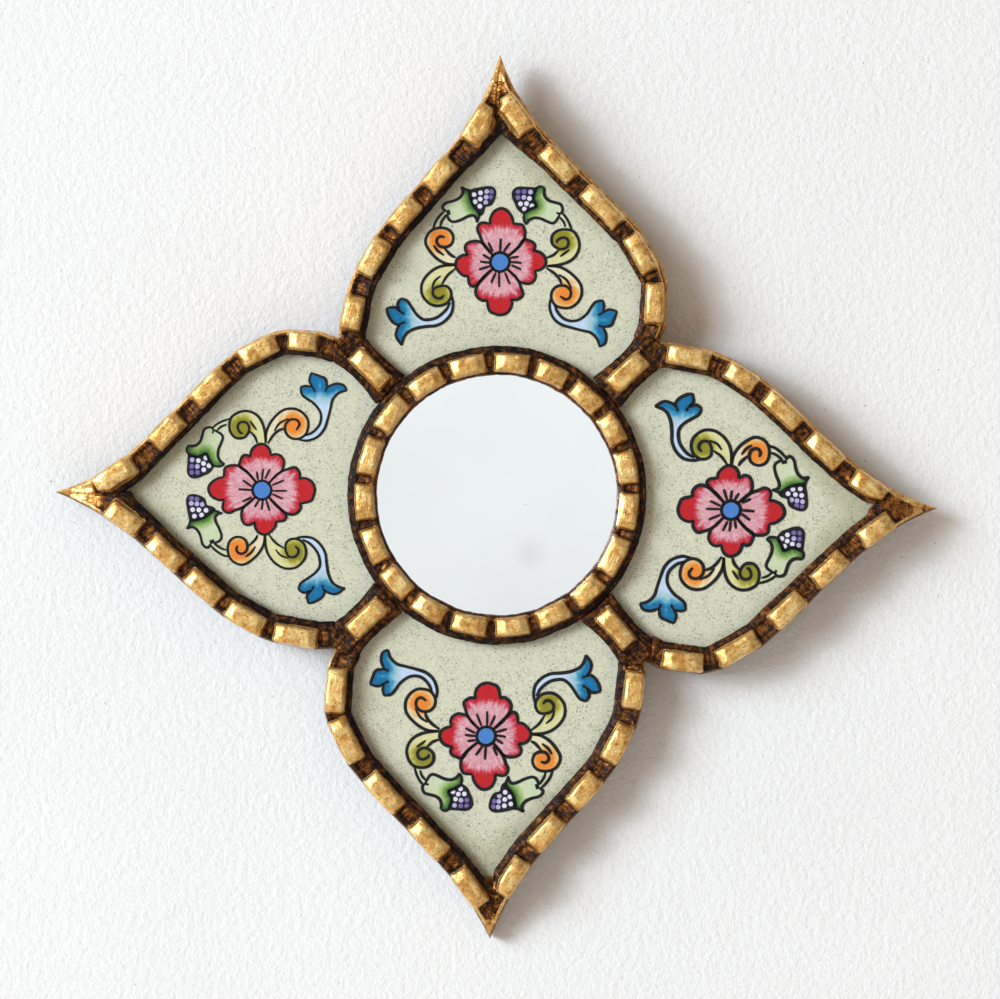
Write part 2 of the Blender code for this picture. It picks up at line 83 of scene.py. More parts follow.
lens = bpy.data.cameras.new("photo_camera")
lens.sensor_width = SENSOR
lens.lens = SENSOR * (CAMERA_DISTANCE - FACE_PLANE) / (PIXEL * IMAGE_SIZE[0])
camera = bpy.data.objects.new("photo_camera", lens)
camera.location = (
    (IMAGE_SIZE[0] / 2 - STAR_PIXEL[0]) * PIXEL,
    -CAMERA_DISTANCE,
    (STAR_PIXEL[1] - IMAGE_SIZE[1] / 2) * PIXEL,
)
camera.rotation_euler = (math.radians(90), 0, 0)
scene.collection.objects.link(camera)
scene.camera = camera
print("lens", round(lens.lens, 1), "mm")

# %% [markdown]
# ## Small tools for materials
# Every finish here is a graph of nodes, as one would click together in the shader editor. Written
# down, it can be read, changed and built again. A Graph holds one material in the making, with a
# short method for each kind of step, so a finish reads from noise to colour to surface.

# %% Graphs of shader nodes
class Graph:
    """Material or world in the making."""

    def __init__(self, owner):
        owner.use_nodes = True
        self.owner, self.tree = owner, owner.node_tree
        self.tree.nodes.clear()

    def wire(self, value, socket):
        """Link a socket to its source, or set it to a value."""
        if isinstance(value, bpy.types.NodeSocket):
            self.tree.links.new(value, socket)
        elif socket.type == "RGBA":
            socket.default_value = (*value[:3], 1)
        else:
            socket.default_value = value

    def add(self, kind, settings=None, **inputs):
        """Node of a kind, with inputs given by name as values or as sockets to link."""
        made = self.tree.nodes.new("ShaderNode" + kind)
        for name, value in (settings or {}).items():
            setattr(made, name, value)
        for name, value in inputs.items():
            self.wire(value, made.inputs[name.replace("_", " ")])
        return made

    def numbered(self, kind, settings, inputs, output=0):
        """Output of a node whose inputs are given by number."""
        made = self.add(kind, settings)
        for number, value in inputs.items():
            self.wire(value, made.inputs[number])
        return made.outputs[output]

    def maths(self, operation, first, second):
        return self.numbered("Math", {"operation": operation}, {0: first, 1: second})

    def plus(self, first, second):
        return self.maths("ADD", first, second)

    def minus(self, first, second):
        return self.maths("SUBTRACT", first, second)

    def times(self, first, second):
        return self.maths("MULTIPLY", first, second)

    def vectors(self, operation, first, second):
        """Number made from two vectors."""
        inputs = {0: first, 1: second}
        return self.numbered("VectorMath", {"operation": operation}, inputs, "Value")

    def mix(self, share, first, second, blend="MIX"):
        """Colour between two others."""
        settings = {"data_type": "RGBA", "blend_type": blend}
        return self.numbered("Mix", settings, {0: share, 6: first, 7: second}, 2)

    def choose(self, share, first, second):
        """Number between two others."""
        return self.numbered("Mix", {"data_type": "FLOAT"}, {0: share, 2: first, 3: second})

    def slope(self, value, low, high, first, last):
        """Number that goes from first to last while a value goes from low to high."""
        ends = {"From_Min": low, "From_Max": high, "To_Min": first, "To_Max": last}
        return self.add("MapRange", Value=value, **ends).outputs[0]

    def ramp(self, value, *stops):
        """Colours or greys laid along a value from 0 to 1."""
        made = self.add("ValToRGB", Fac=value)
        while len(made.color_ramp.elements) < len(stops):
            made.color_ramp.elements.new(1)
        for element, (place, colour) in zip(made.color_ramp.elements, stops):
            element.position = place
            element.color = (*colour, 1) if isinstance(colour, tuple) else (colour,) * 3 + (1,)
        return made.outputs["Color"]

    def grain(self, place, scale, detail=4, roughness=0.55):
        """Cloudy noise with a number of clouds to the metre."""
        shape = {"Scale": scale, "Detail": detail, "Roughness": roughness}
        return self.add("TexNoise", Vector=place, **shape).outputs["Fac"]

    def cells(self, place, scale):
        """Cells, a number of them to the metre, each with a colour and a distance to its middle."""
        return self.add("TexVoronoi", Vector=place, Scale=scale).outputs

    def coords(self, kind="Object"):
        return self.add("TexCoord").outputs[kind]

    def axes(self, vector):
        return self.add("SeparateXYZ", Vector=vector).outputs

    def attribute(self, name, output="Fac"):
        """Value that a mesh carries on its points."""
        return self.add("Attribute", {"attribute_name": name}).outputs[output]

    def bump(self, height, strength, distance):
        return self.add("Bump", Height=height, Strength=strength, Distance=distance).outputs[0]

    def shader(self, kind, **inputs):
        return self.add("Bsdf" + kind, **inputs).outputs[0]

    def blend(self, share, first, second):
        """Shader between two others."""
        return self.numbered("MixShader", None, {0: share, 1: first, 2: second})

    def surface(self, shader):
        """The finished material."""
        self.add("OutputMaterial", Surface=shader)
        return self.owner


def new_finish(name):
    return Graph(bpy.data.materials.new(name))


print("steps of a graph:", ", ".join(step for step in vars(Graph) if not step.startswith("_")))

# %% [markdown]
# ## Gilding
# The beads are bronze leaf laid over a dark ground: warm gold that is mottled where the leaf is
# thin. Dark, glossy varnish was brushed into the notches and along the glass, and copper shines
# through it in flecks. One material does both, because on the real mirror one runs into the
# other. Each moulding carries three values: gilt, how much leaf lies at a point, the tar, how thick
# the black varnish is, and run, a place along and across the moulding. On the edge mouldings the
# tar is partly painted shade: set side by side, it is heaviest where the hollow faces away from the
# light. Noise frays the line between leaf and varnish, and noise drawn out along the run gives the
# marks of the brush.

# %% Gilding finish
GOLD_BROWN = (0.27, 0.12, 0.026)
GOLD_DEEP = (0.58, 0.265, 0.06)
GOLD = (0.85, 0.48, 0.14)
GOLD_BRIGHT = (0.97, 0.7, 0.29)
COPPER = (0.25, 0.077, 0.013)
COPPER_FLECK = (0.58, 0.27, 0.07)
BROWN = (0.055, 0.02, 0.005)
TAR = (0.008, 0.005, 0.005)
FRAY = 0.35  # how far noise moves the line between leaf and varnish
TAR_HIDES = 0.1  # how much less copper shows through thick varnish
STRAND = (7 * MM, 0.55 * MM)  # length and breadth of the varnish's brush marks in a hollow
NOTCH_STROKE = (0.6 * MM, 3 * MM)  # and across a notch
LEAF_STROKE = (2.4 * MM, 0.45 * MM)
STRAND_DEPTH = 1.6  # how much the strands and the drips of varnish stand out
DENT_DEPTH = 0.45  # and the dents in the leaf
LEAF_METAL = 0.8
VARNISH_ROUGHNESS = 0.1
LEAF_ROUGHNESS = 0.23
STROKE_ROUGHNESS = 0.16  # what a brush mark adds to it
LACQUER = 0.3  # clear coat over the leaf


def brushed(graph, length, breadth):
    """Noise drawn out along the run of a moulding."""
    scale = (1 / length, 1 / breadth, 1 / breadth)
    run = graph.add("Mapping", Vector=graph.attribute("run", "Vector"), Scale=scale)
    return graph.grain(run.outputs[0], 1, 4, 0.6)


def dark_varnish(graph, place, varnish_and_shade, streaks):
    """Brown varnish that is black where it is thick, and how much copper shows where it is thin."""
    worn = graph.choose(0.5, graph.grain(place, 620, 5, 0.7), streaks)
    worn = graph.minus(worn, graph.times(varnish_and_shade, TAR_HIDES))
    copper = (0.55, COPPER), (0.64, COPPER_FLECK), (0.78, GOLD_DEEP)
    tone = graph.ramp(worn, (0.41, TAR), (0.475, BROWN), *copper)
    return tone, graph.ramp(worn, (0.52, 0.0), (0.6, 0.8))


def gold_leaf(graph, place, wear):
    """Bronze leaf: broad mottling, brown where it is worn, and small pits."""
    mottling = graph.grain(place, 330, 6, 0.7)
    broad = graph.ramp(mottling, (0.36, GOLD_DEEP), (0.48, GOLD), (0.62, GOLD_BRIGHT))
    pits = graph.ramp(graph.grain(place, 1700, 3, 0.6), (0.33, 0.8), (0.42, 0.0))
    worn = graph.maths("MAXIMUM", pits, graph.ramp(wear, (0.37, 0.8), (0.47, 0.0)))
    return graph.mix(worn, broad, GOLD_BROWN)


def gilding_finish():
    graph = new_finish("bronze leaf and dark varnish")
    place = graph.coords()
    tar = graph.attribute("tar")
    fray = graph.times(graph.minus(graph.grain(place, 900), 0.5), FRAY)
    height = graph.plus(graph.attribute("gilt"), fray)
    gilt = graph.ramp(height, (0.14, 0.0), (0.24, 1.0))
    foot = graph.ramp(height, (0.18, 0.7), (0.5, 0.0))
    strands = brushed(graph, *STRAND)
    streaks = graph.choose(tar, brushed(graph, *NOTCH_STROKE), strands)
    dark, copper = dark_varnish(graph, place, tar, streaks)
    brush = brushed(graph, *LEAF_STROKE)
    wear = graph.choose(0.5, brush, graph.grain(place, 1300, 4, 0.6))
    leaf = graph.mix(foot, gold_leaf(graph, place, wear), GOLD_DEEP)
    leaf_rough = graph.plus(graph.times(brush, STROKE_ROUGHNESS), LEAF_ROUGHNESS)
    drips = graph.times(graph.grain(place, 620, 2), STRAND_DEPTH)
    drips = graph.plus(graph.times(strands, STRAND_DEPTH), drips)
    dents = graph.times(graph.plus(brush, graph.grain(place, 900, 4, 0.6)), DENT_DEPTH)
    normal = graph.bump(graph.choose(gilt, drips, dents), 0.7, 0.4 * MM)
    shader = graph.shader(
        "Principled",
        Base_Color=graph.mix(gilt, dark, leaf),
        Metallic=graph.choose(gilt, copper, LEAF_METAL),
        Roughness=graph.choose(gilt, VARNISH_ROUGHNESS, leaf_rough),
        Specular_IOR_Level=0.1,
        Normal=normal,
        Coat_Weight=graph.times(gilt, LACQUER),
        Coat_Roughness=0.16,
        Coat_Normal=normal,
    )
    return graph.surface(shader)


gilding = gilding_finish()
print("gilding has", len(gilding.node_tree.nodes), "nodes")

# %% [markdown]
# ## Outline of the star
# The varnish lies by distance from the board's edge: the outer lip is gilded, the strip along the
# glass is black. The board itself knows its edge, so its points are read from the CAD node,
# sorted round the middle, and filled in closely enough to measure distances from them.

# %% Measure distances from the board's edge
EDGE_LEVEL = 6.1 * MM  # height of the ring of board points just under the rounded front
EDGE_BAND = 0.05 * MM  # how far from that height a point may lie
EDGE_STEP = 0.25 * MM


def flat(point):
    """Point on the face of the mirror, as right and up."""
    return Vector((point.x, point.z))


def filled_in(outline, spacing):
    """Closed outline with points at a spacing along every side."""
    points = []
    for here, there in zip(outline, outline[1:] + outline[:1]):
        count = max(1, round((there - here).length / spacing))
        points += [here.lerp(there, step / count) for step in range(count)]
    return points


def board_edge():
    ring = {}
    for vertex in nodes["backing_board"].data.vertices:
        if abs(vertex.co.y + EDGE_LEVEL) < EDGE_BAND:
            ring[tuple(round(value / MM, 3) for value in flat(vertex.co))] = flat(vertex.co)
    return sorted(ring.values(), key=lambda point: math.atan2(point.x, point.y))


edge_points = filled_in(board_edge(), EDGE_STEP)
edge_tree = kdtree.KDTree(len(edge_points))
for number, point in enumerate(edge_points):
    edge_tree.insert((*point, 0), number)
edge_tree.balance()
print("board edge:", round(len(edge_points) * EDGE_STEP / MM), "mm round")

# %% [markdown]
# ## Mouldings
# The real mouldings are modelled by hand in a soft paste, so no edge is sharp and no two beads are
# alike. Sculpting each one would take days and could not be repeated. A voxel remesh does most of
# it: it turns a crisp CAD solid into an even, fine skin, and a little smoothing thumbs its edges.

# %% Skin a CAD moulding in soft paste
VOXEL = 0.34 * MM
WELD = 0.001 * MM
THUMBING = 3  # rounds of smoothing


def welded(name):
    """Editable copy of a CAD node's mesh, with the seams between its faces closed."""
    shape = bmesh.new()
    shape.from_mesh(nodes[name].data)
    bmesh.ops.remove_doubles(shape, verts=shape.verts, dist=WELD)
    return shape


def mesh_from(shape, name):
    mesh = bpy.data.meshes.new(name)
    shape.to_mesh(mesh)
    shape.free()
    return mesh


def in_scene(name, mesh):
    made = bpy.data.objects.new(name, mesh)
    scene.collection.objects.link(made)
    return made


def paste_skin(name):
    """Even, rounded copy of a CAD node's mesh."""
    block = in_scene("crisp_" + name, mesh_from(welded(name), name))
    remesh = block.modifiers.new("even skin", "REMESH")
    remesh.mode = "VOXEL"
    remesh.voxel_size = VOXEL
    remesh.use_smooth_shade = True
    smooth = block.modifiers.new("thumbed edges", "SMOOTH")
    smooth.iterations = THUMBING
    worked = block.evaluated_get(bpy.context.evaluated_depsgraph_get())
    skin = bpy.data.meshes.new_from_object(worked)
    bpy.data.objects.remove(block)
    return skin


test_skin = paste_skin("upper_left_spoke")
print("a spoke's skin has", len(test_skin.polygons), "faces")
bpy.data.meshes.remove(test_skin)

# %% [markdown]
# The painter knew where to put leaf and varnish, and here height tells it. A bead's back stands
# higher than 11.5 mm above the wall, a notch lies lower, and the hollow beside the glass is black.
# The lip along the outer edge stays gold, also past the notches. No two tips were finished alike:
# one point is gilded, another is bare copper, so each tip has its own row below.

# %% Lay leaf and varnish by height
BEAD_FOOT = 11.1 * MM  # height above the wall at which gilt is 0
BEAD_BACK = 13.6 * MM  # height at which it is 1
FOOT_LINE = 0.5 * MM  # height of the black line round the foot of each bead
FOOT_THIN = 0.2  # what that line lacks in thickness
LIP = 0.4 * MM  # how far the gilded outer lip reaches under the beads
LIP_GILT = 0.5  # how much leaf it has at the tips
LIP_FADE = 0.5 * MM
TIP_FLOOR = 110.5 * MM  # distance from the middle at which the copper floor of a tip starts
TIP_FADE = 2 * MM
TIP_LIP = 0.25 * MM  # what the lip grows by there
TIP_CAP_FADE = 2 * MM
# Each tip: how thin its varnish is, and in millimetres the length of its gilded point and how far
# its varnish fills the corner of the glass
TIPS = {
    "top": (1.0, 2.0, 2.2),
    "right": (0.45, 1.5, 0),
    "bottom": (0.0, 0.0, 0),
    "left": (1.6, 5.0, 1.2),
}
RING_SEAM = math.radians(182.6)  # a notch of the ring, where its run starts
RING_HOLLOW = 40.1 * MM  # distance from the middle at which the ring's black hollow starts
RING_TAR = 0.7
SPOKE_TAR = 0.6
HOLLOW = 5.4 * MM  # distance from the outer side of the beads at which the black hollow starts
HOLLOW_FADE = 0.6 * MM
# Each edge moulding: its ledge outside the beads in millimetres, how thick its varnish is, which
# is partly painted shade and heaviest where the hollow faces away from the light, and the leaf on
# its lip, which is painted shade where it is low, on the sides that look down
EDGE_SIDES = {
    "top_petal_left_moulding": (0.4, 1.0, 0.5),
    "top_petal_right_moulding": (1.2, 0.4, 0.5),
    "right_petal_upper_moulding": (0.8, 0.6, 0.45),
    "right_petal_lower_moulding": (0.5, 0.35, 0.15),
    "bottom_petal_right_moulding": (0.4, 0.5, 0.0),
    "bottom_petal_left_moulding": (0.4, 0.8, 0.05),
    "left_petal_lower_moulding": (0.4, 0.8, 0.0),
    "left_petal_upper_moulding": (0.5, 0.9, 0.5),
}


def petal_of(name):
    return name.split("_")[0]


def rise_between(values, low, high):
    return np.clip((values - low) / (high - low), 0, 1)


def run_of(name, points):
    """Places along and across a moulding."""
    right, up = points[:, 0], points[:, 2]
    radius = np.hypot(right, up)
    if name in EDGE_SIDES:
        found = [edge_tree.find((x, z, 0)) for x, _, z in points]
        return np.array([(number * EDGE_STEP, distance) for _, number, distance in found]).T
    turn = np.arctan2(right, up)
    if name.startswith("mirror_ring"):
        return (turn - RING_SEAM) % math.tau * radius, radius
    return radius, (turn - turn.mean()) * radius


def leaf_and_varnish(name, points, across):
    """Gilt and tar at each point of a moulding."""
    height = -points[:, 1]
    gilt = rise_between(height, BEAD_FOOT, BEAD_BACK)
    foot = 1 - np.abs(height - BEAD_FOOT) / FOOT_LINE
    if name in EDGE_SIDES:
        # Per side, the varnish and the lip's leaf also hold painted shade
        ledge, varnish_and_shade, leaf = EDGE_SIDES[name]
        thinness, cap, _ = TIPS[petal_of(name)]
        radius = np.hypot(points[:, 0], points[:, 2])
        to_tip = radius.max() - radius
        tip = rise_between(radius, TIP_FLOOR, TIP_FLOOR + TIP_FADE)
        inset = across - ledge * MM
        lip = LIP + tip * TIP_LIP
        leaf = leaf + (LIP_GILT - leaf) * tip
        # Little leaf on a lip that looks down is painted shade
        gilt = np.maximum(gilt, leaf * (1 - rise_between(inset, lip, lip + LIP_FADE)))
        capped = 1 - rise_between(to_tip, cap * MM, cap * MM + TIP_CAP_FADE)
        gilt = np.maximum(gilt, LIP_GILT * capped)
        # Thicker varnish on the side away from the light is painted shade
        tar = varnish_and_shade * rise_between(inset, HOLLOW, HOLLOW + HOLLOW_FADE) * (1 - tip)
        tar -= thinness * tip
    elif name.startswith("mirror_ring"):
        tar = RING_TAR * rise_between(across, RING_HOLLOW, RING_HOLLOW + HOLLOW_FADE)
    else:
        tar = SPOKE_TAR * (1 - rise_between(height, BEAD_FOOT - HOLLOW_FADE, BEAD_FOOT))
    return gilt, np.maximum(tar, foot - FOOT_THIN)


print("edge mouldings to gild:", len(EDGE_SIDES))

# %% [markdown]
# Then the paste itself is pushed about, as a thumb would do it. Two scales of noise bend the skin,
# and the notches get a grit of their own. The paste closes the hairline gaps that the CAD keeps:
# it swells, it beds down on the glass and on the board, it runs together where two mouldings meet
# at a tip, and it spreads into the corners of the glass and at both ends of a spoke.

# %% Work the paste
SWELL = 0.16 * MM
DARK_SWELL = 0.08 * MM  # notches and hollows are filled more than the beads
GLASS_FACE = 9.3 * MM
UNDERSIDE = 9.75 * MM
BED = 0.26 * MM  # how far the flanges go down to lie on the glass
SEAT = 7.7 * MM  # below this height a moulding goes down to lie on the board
SEAT_DROP = 0.2 * MM
WOBBLE = ((9 * MM, 0.28 * MM), (2.6 * MM, 0.12 * MM))  # size and depth of each noise
NOTCH_GRIT = (1.5 * MM, 0.11 * MM)
BARE_GAIN = 4  # from a quarter of its leaf on, a point has no grit
BULGE = 0.28 * MM  # how far the beads hang over the board's edge
BULGE_GAIN = 3  # from a third of its leaf on, a point hangs over fully
BULGE_REACH = 2 * MM
MITRE_SWELL = 0.35 * MM  # closes the seam where two mouldings meet at a tip
MITRE_REACH = 1.0 * MM
MITRE_LEAN = 3  # degrees between that seam and the petal's middle
FLARE_OUT = 2.3 * MM  # how far the dark foot of a spoke spreads at its outer end
FLARE_IN = 0.9 * MM
FLARE_SHARE = 0.45  # share of a spoke's length over which it spreads
TIP_CORNER = (93 * MM, 104 * MM)  # distances from the middle between which a corner fills up
CORNER_START = 1 * MM  # how far outside the hollow that fill starts
AXES = {"top": (0, 1), "right": (1, 0), "bottom": (0, -1), "left": (-1, 0)}


def read_points(mesh, source="vertices", field="co"):
    values = np.empty(len(mesh.vertices) * 3)
    getattr(mesh, source).foreach_get(field, values)
    return values.reshape(-1, 3)


def cloud(points, size):
    """Smooth noise of a size, from -1 to 1, at each point."""
    return np.array([noise.noise(Vector(point)) for point in points / size])


def from_mitre(name, points):
    """Distance from the line on which a petal's two edge mouldings meet."""
    tip = max(edge_points, key=Vector(AXES[petal_of(name)]).dot)
    along = tip.normalized()
    turn = math.radians(MITRE_LEAN)
    away = math.cos(turn) * Vector((along.y, -along.x)) - math.sin(turn) * along
    return np.abs((tip.x - points[:, 0]) * away.x + (tip.y - points[:, 2]) * away.y)


def flared(points, along, across, bare):
    """Sideways shift that spreads the dark foot of a spoke at both ends."""
    share = rise_between(along, along.min(), along.max())
    spread = FLARE_OUT * rise_between(share, 1 - FLARE_SHARE, 1) ** 2
    spread += FLARE_IN * rise_between(share, FLARE_SHARE, 0) ** 2
    side = np.stack((points[:, 2], np.zeros_like(along), -points[:, 0]), axis=1) / along[:, None]
    return side * (spread * bare * across / np.abs(across).max())[:, None]


def corner_filled(name, points, across):
    """Inward shift of an edge moulding's dark foot, which fills the glass's corner at a tip."""
    right, up = points[:, 0], points[:, 2]
    nearest = np.array([edge_tree.find((x, z, 0))[0][:2] for x, _, z in points])
    inward = np.stack((right - nearest[:, 0], np.zeros_like(across), up - nearest[:, 1]), axis=1)
    inset = across - EDGE_SIDES[name][0] * MM
    reach = TIPS[petal_of(name)][2] * MM * rise_between(np.hypot(right, up), *TIP_CORNER)
    reach = reach * rise_between(inset, HOLLOW - CORNER_START, HOLLOW + HOLLOW_FADE)
    return inward * (reach / np.maximum(across, WELD))[:, None]


def pushed(name, points, normals, along, across, gilt):
    """Points of a skin after the paste was worked."""
    push = SWELL + sum(depth * cloud(points, size) for size, depth in WOBBLE)
    if name in EDGE_SIDES:
        push += MITRE_SWELL * (1 - rise_between(from_mitre(name, points), 0, MITRE_REACH))
        bulge = BULGE * (1 - np.abs(normals[:, 1])) * np.minimum(1, BULGE_GAIN * gilt)
        push += bulge * (1 - rise_between(across, 0, BULGE_REACH))
    bare = 1 - np.minimum(1, BARE_GAIN * gilt)
    size, depth = NOTCH_GRIT
    push += bare * (DARK_SWELL + depth * cloud(points, size))
    moved = points + normals * push[:, None]
    if name.endswith("_spoke"):
        moved += flared(points, along, across, bare)
    if name in EDGE_SIDES:
        moved += corner_filled(name, points, across)
    flange = (points[:, 1] > -UNDERSIDE) & (points[:, 1] < -GLASS_FACE)
    moved[flange, 1] += BED
    moved[points[:, 1] > -SEAT, 1] += SEAT_DROP
    moved[:, 1] = np.maximum(moved[:, 1], cad_low.y)
    return moved


def hand_modelled(name):
    """Moulding in paste over a CAD node, with its leaf and varnish."""
    mesh = paste_skin(name)
    points = read_points(mesh)
    normals = read_points(mesh, "vertex_normals", "vector")
    along, across = run_of(name, points)
    gilt, tar = leaf_and_varnish(name, points, across)
    moved = pushed(name, points, normals, along, across, gilt)
    mesh.vertices.foreach_set("co", moved.ravel())
    for field, values in (("gilt", gilt), ("tar", tar)):
        mesh.attributes.new(field, "FLOAT", "POINT").data.foreach_set("value", values)
    run = np.stack((along, across, -points[:, 1]), axis=1)
    mesh.attributes.new("run", "FLOAT_VECTOR", "POINT").data.foreach_set("vector", run.ravel())
    mesh.shade_smooth()
    mesh.materials.append(gilding)
    piece = in_scene("gilded_" + name, mesh)
    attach(piece, "frame")
    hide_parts(name)
    return piece


faces = 0
for name in sorted(nodes):
    if name.endswith(("_moulding", "_spoke")):
        faces += len(hand_modelled(name).data.polygons)
print("mouldings in paste:", faces, "faces")

# %% [markdown]
# ## Paint behind the glass
# Reverse painting is done on the back of the glass and in reverse order: the black lines first,
# then the colours, and the speckled ground last. Seen from the front the lines lie on top. A flat
# texture could fake it, but real films of paint keep the lines crisp from any side, so each
# layer is a thin film in the hairline gap between the board and the glass.
#
# The ornament is a common folk pattern: a four-petalled flower, four scrolls, two bellflowers
# and two grape buds. It is drawn once, on a grid round the middle of the flower, with the petal's
# tip up. Each list below is one pull of the brush.

# %% Draw the flower
FLOWER_GRID = 0.2263 * MM
SCROLL_GRID = 0.3077 * MM
DISC_RADIUS = 11.8
# Each petal: from the disc to a notch, over the crown to the other notch, and back to the disc
FLOWER_PETALS = (
    (
        ((-7.5, 6.8), (-20.5, 22), (-25.5, 34), (-28.5, 41), (-26.5, 47), (-21.5, 49.5), (-12, 48)),
        ((-12, 48), (-12.5, 54), (-8.5, 62.5), (-2.5, 66.5), (3.5, 67), (9.5, 63.5), (14.5, 56),
         (16.5, 48)),
        ((16.5, 48), (21.5, 47.5), (27.5, 46.5), (30.5, 41), (31, 33), (28.5, 26), (21.5, 17),
         (8.2, 5.9)),
    ),
    (
        ((8.2, 5.9), (21.5, 17.5), (29.5, 28), (36.5, 27), (42.5, 24), (44, 19), (41.5, 14.5)),
        ((41.5, 14.5), (47.5, 13.5), (52.5, 11), (56.5, 6), (58, 0), (55.5, -6), (49.5, -10),
         (43.5, -11)),
        ((43.5, -11), (45, -18), (42.5, -24), (36.5, -27.5), (30.5, -27), (24, -24.5), (18.5, -18),
         (7.1, -7.1)),
    ),
    (
        ((7.1, -7.1), (18.5, -18), (24, -26), (26.5, -33), (28.5, -40), (26.5, -44), (20.5, -47.5),
         (13.5, -47)),
        ((13.5, -47), (15, -51), (13.5, -58), (8.5, -64), (0.5, -66.5), (-6.5, -65), (-13.5, -61),
         (-17, -47)),
        ((-17, -47), (-21.5, -48.5), (-27.5, -45), (-30.5, -39), (-29.5, -32), (-24.5, -24),
         (-7.2, -6.9)),
    ),
    (
        ((-7.2, -6.9), (-18.5, -17), (-24.5, -24), (-29.5, -29), (-34.5, -30.5), (-38.5, -27),
         (-40, -17)),
        ((-40, -17), (-45.5, -17), (-51.5, -12), (-55.5, -6), (-55.5, 0), (-52.5, 5), (-46.5, 8.5),
         (-40, 8.5)),
        ((-40, 8.5), (-44, 16), (-42.5, 22), (-37.5, 25), (-31.5, 26), (-25.5, 25), (-20.5, 22),
         (-7.5, 6.8)),
    ),
)
STAMENS = (
    ((-9, 13), (-14.5, 24.5)), ((0, 12), (1, 29.5)), ((4.5, 13), (12.5, 24)),
    ((13, 5), (23.5, 6.5)), ((13, 0), (27, -1.5)), ((14, -4), (26.5, -10)),
    ((6, -13), (12.5, -28)), ((-1, -13), (-1, -31.5)), ((-5, -13), (-11, -26)),
    ((-12, -5), (-26, -9.5)), ((-12, -1), (-25, 0.5)), ((-12, 3.5), (-21.5, 9.5)),
)
print("flower:", len(FLOWER_PETALS), "petals and", len(STAMENS), "stamens")

# %% [markdown]
# Each scroll is one long pull: it leaves the flower, swings out and winds into its own eye. A
# second, shorter pull closes it on the inside, and a third is only an accent. The two scrolls
# towards the tip carry a bud on a stem, and the two towards the mirror carry a bellflower.

# %% Draw the scrolls
# Each scroll: its long pull, the point of it where the fill turns back, its inner pull, its accent
SCROLLS = {
    "tip_left": (
        ((-41.8, -2), (-49.8, -1.5), (-58.8, 3.5), (-65.8, 11.5), (-68.8, 18.5), (-66.8, 25.5),
         (-61.8, 30), (-54.8, 31.5), (-47.8, 30), (-43.8, 25.5), (-43.3, 20), (-45.8, 15.5),
         (-50.8, 13.5), (-55.8, 14.5), (-58.3, 18), (-57.8, 21.5), (-54.8, 23.5), (-50.8, 22.5)),
        13,
        ((-51.5, 12.5), (-45.8, 6.5), (-41.3, 4)),
        ((-61.3, 15.5), (-57.8, 10.5), (-51.8, 6)),
    ),
    "tip_right": (
        ((43.4, -3.5), (52.4, -3), (62.4, 0), (69.4, 5.5), (72.9, 13.5), (71.9, 21.5), (67.4, 28),
         (60.4, 30), (53.4, 29), (48.4, 24.5), (47.9, 18.5), (50.4, 14.5), (55.4, 12), (60.4, 13),
         (62.9, 16.5), (61.9, 21), (57.9, 22.5), (53.4, 20.5), (51.9, 17.5)),
        13,
        ((54.4, 11.5), (49.4, 6.5), (43.4, 4)),
        ((63.9, 11.5), (55.4, 5)),
    ),
    "base_left": (
        ((-41.3, -3), (-49.8, -3), (-58.8, -5.5), (-66.8, -11.5), (-71.8, -19.5), (-72.3, -27.5),
         (-69.8, -33.5), (-63.8, -39), (-56.8, -40.5), (-49.8, -38.5), (-45.8, -33.5),
         (-45.3, -27.5), (-48.8, -22.5), (-54.8, -22), (-60.8, -24.5), (-61.8, -29.5),
         (-58.8, -33), (-54.8, -33.5), (-51.8, -30.5)),
        14,
        ((-53.8, -20.5), (-48.8, -12.5), (-41.3, -6)),
        ((-54.8, -12.5), (-60.3, -17.5), (-62.8, -24.5)),
    ),
    "base_right": (
        ((43.4, -4), (52.4, -4), (61.4, -7.5), (69.4, -14), (74.4, -21.5), (74.9, -30.5),
         (71.4, -37.5), (65.4, -42), (58.4, -42.5), (51.4, -40), (47.4, -33.5), (48.4, -26.5),
         (53.4, -22), (60.4, -22), (64.9, -26.5), (64.4, -32.5), (60.4, -34.5), (55.4, -31.5)),
        13,
        ((56.9, -21), (54.9, -15.5), (50.4, -10.5), (42.9, -5.5)),
        ((54.4, -11.5), (61.4, -16.5), (65.9, -24.5)),
    ),
}
print("scrolls:", ", ".join(SCROLLS))

# %% [markdown]
# A bellflower is a few pulls of the brush: the two sides of its stem, which open into a bell, and a
# lip of three petals between them.

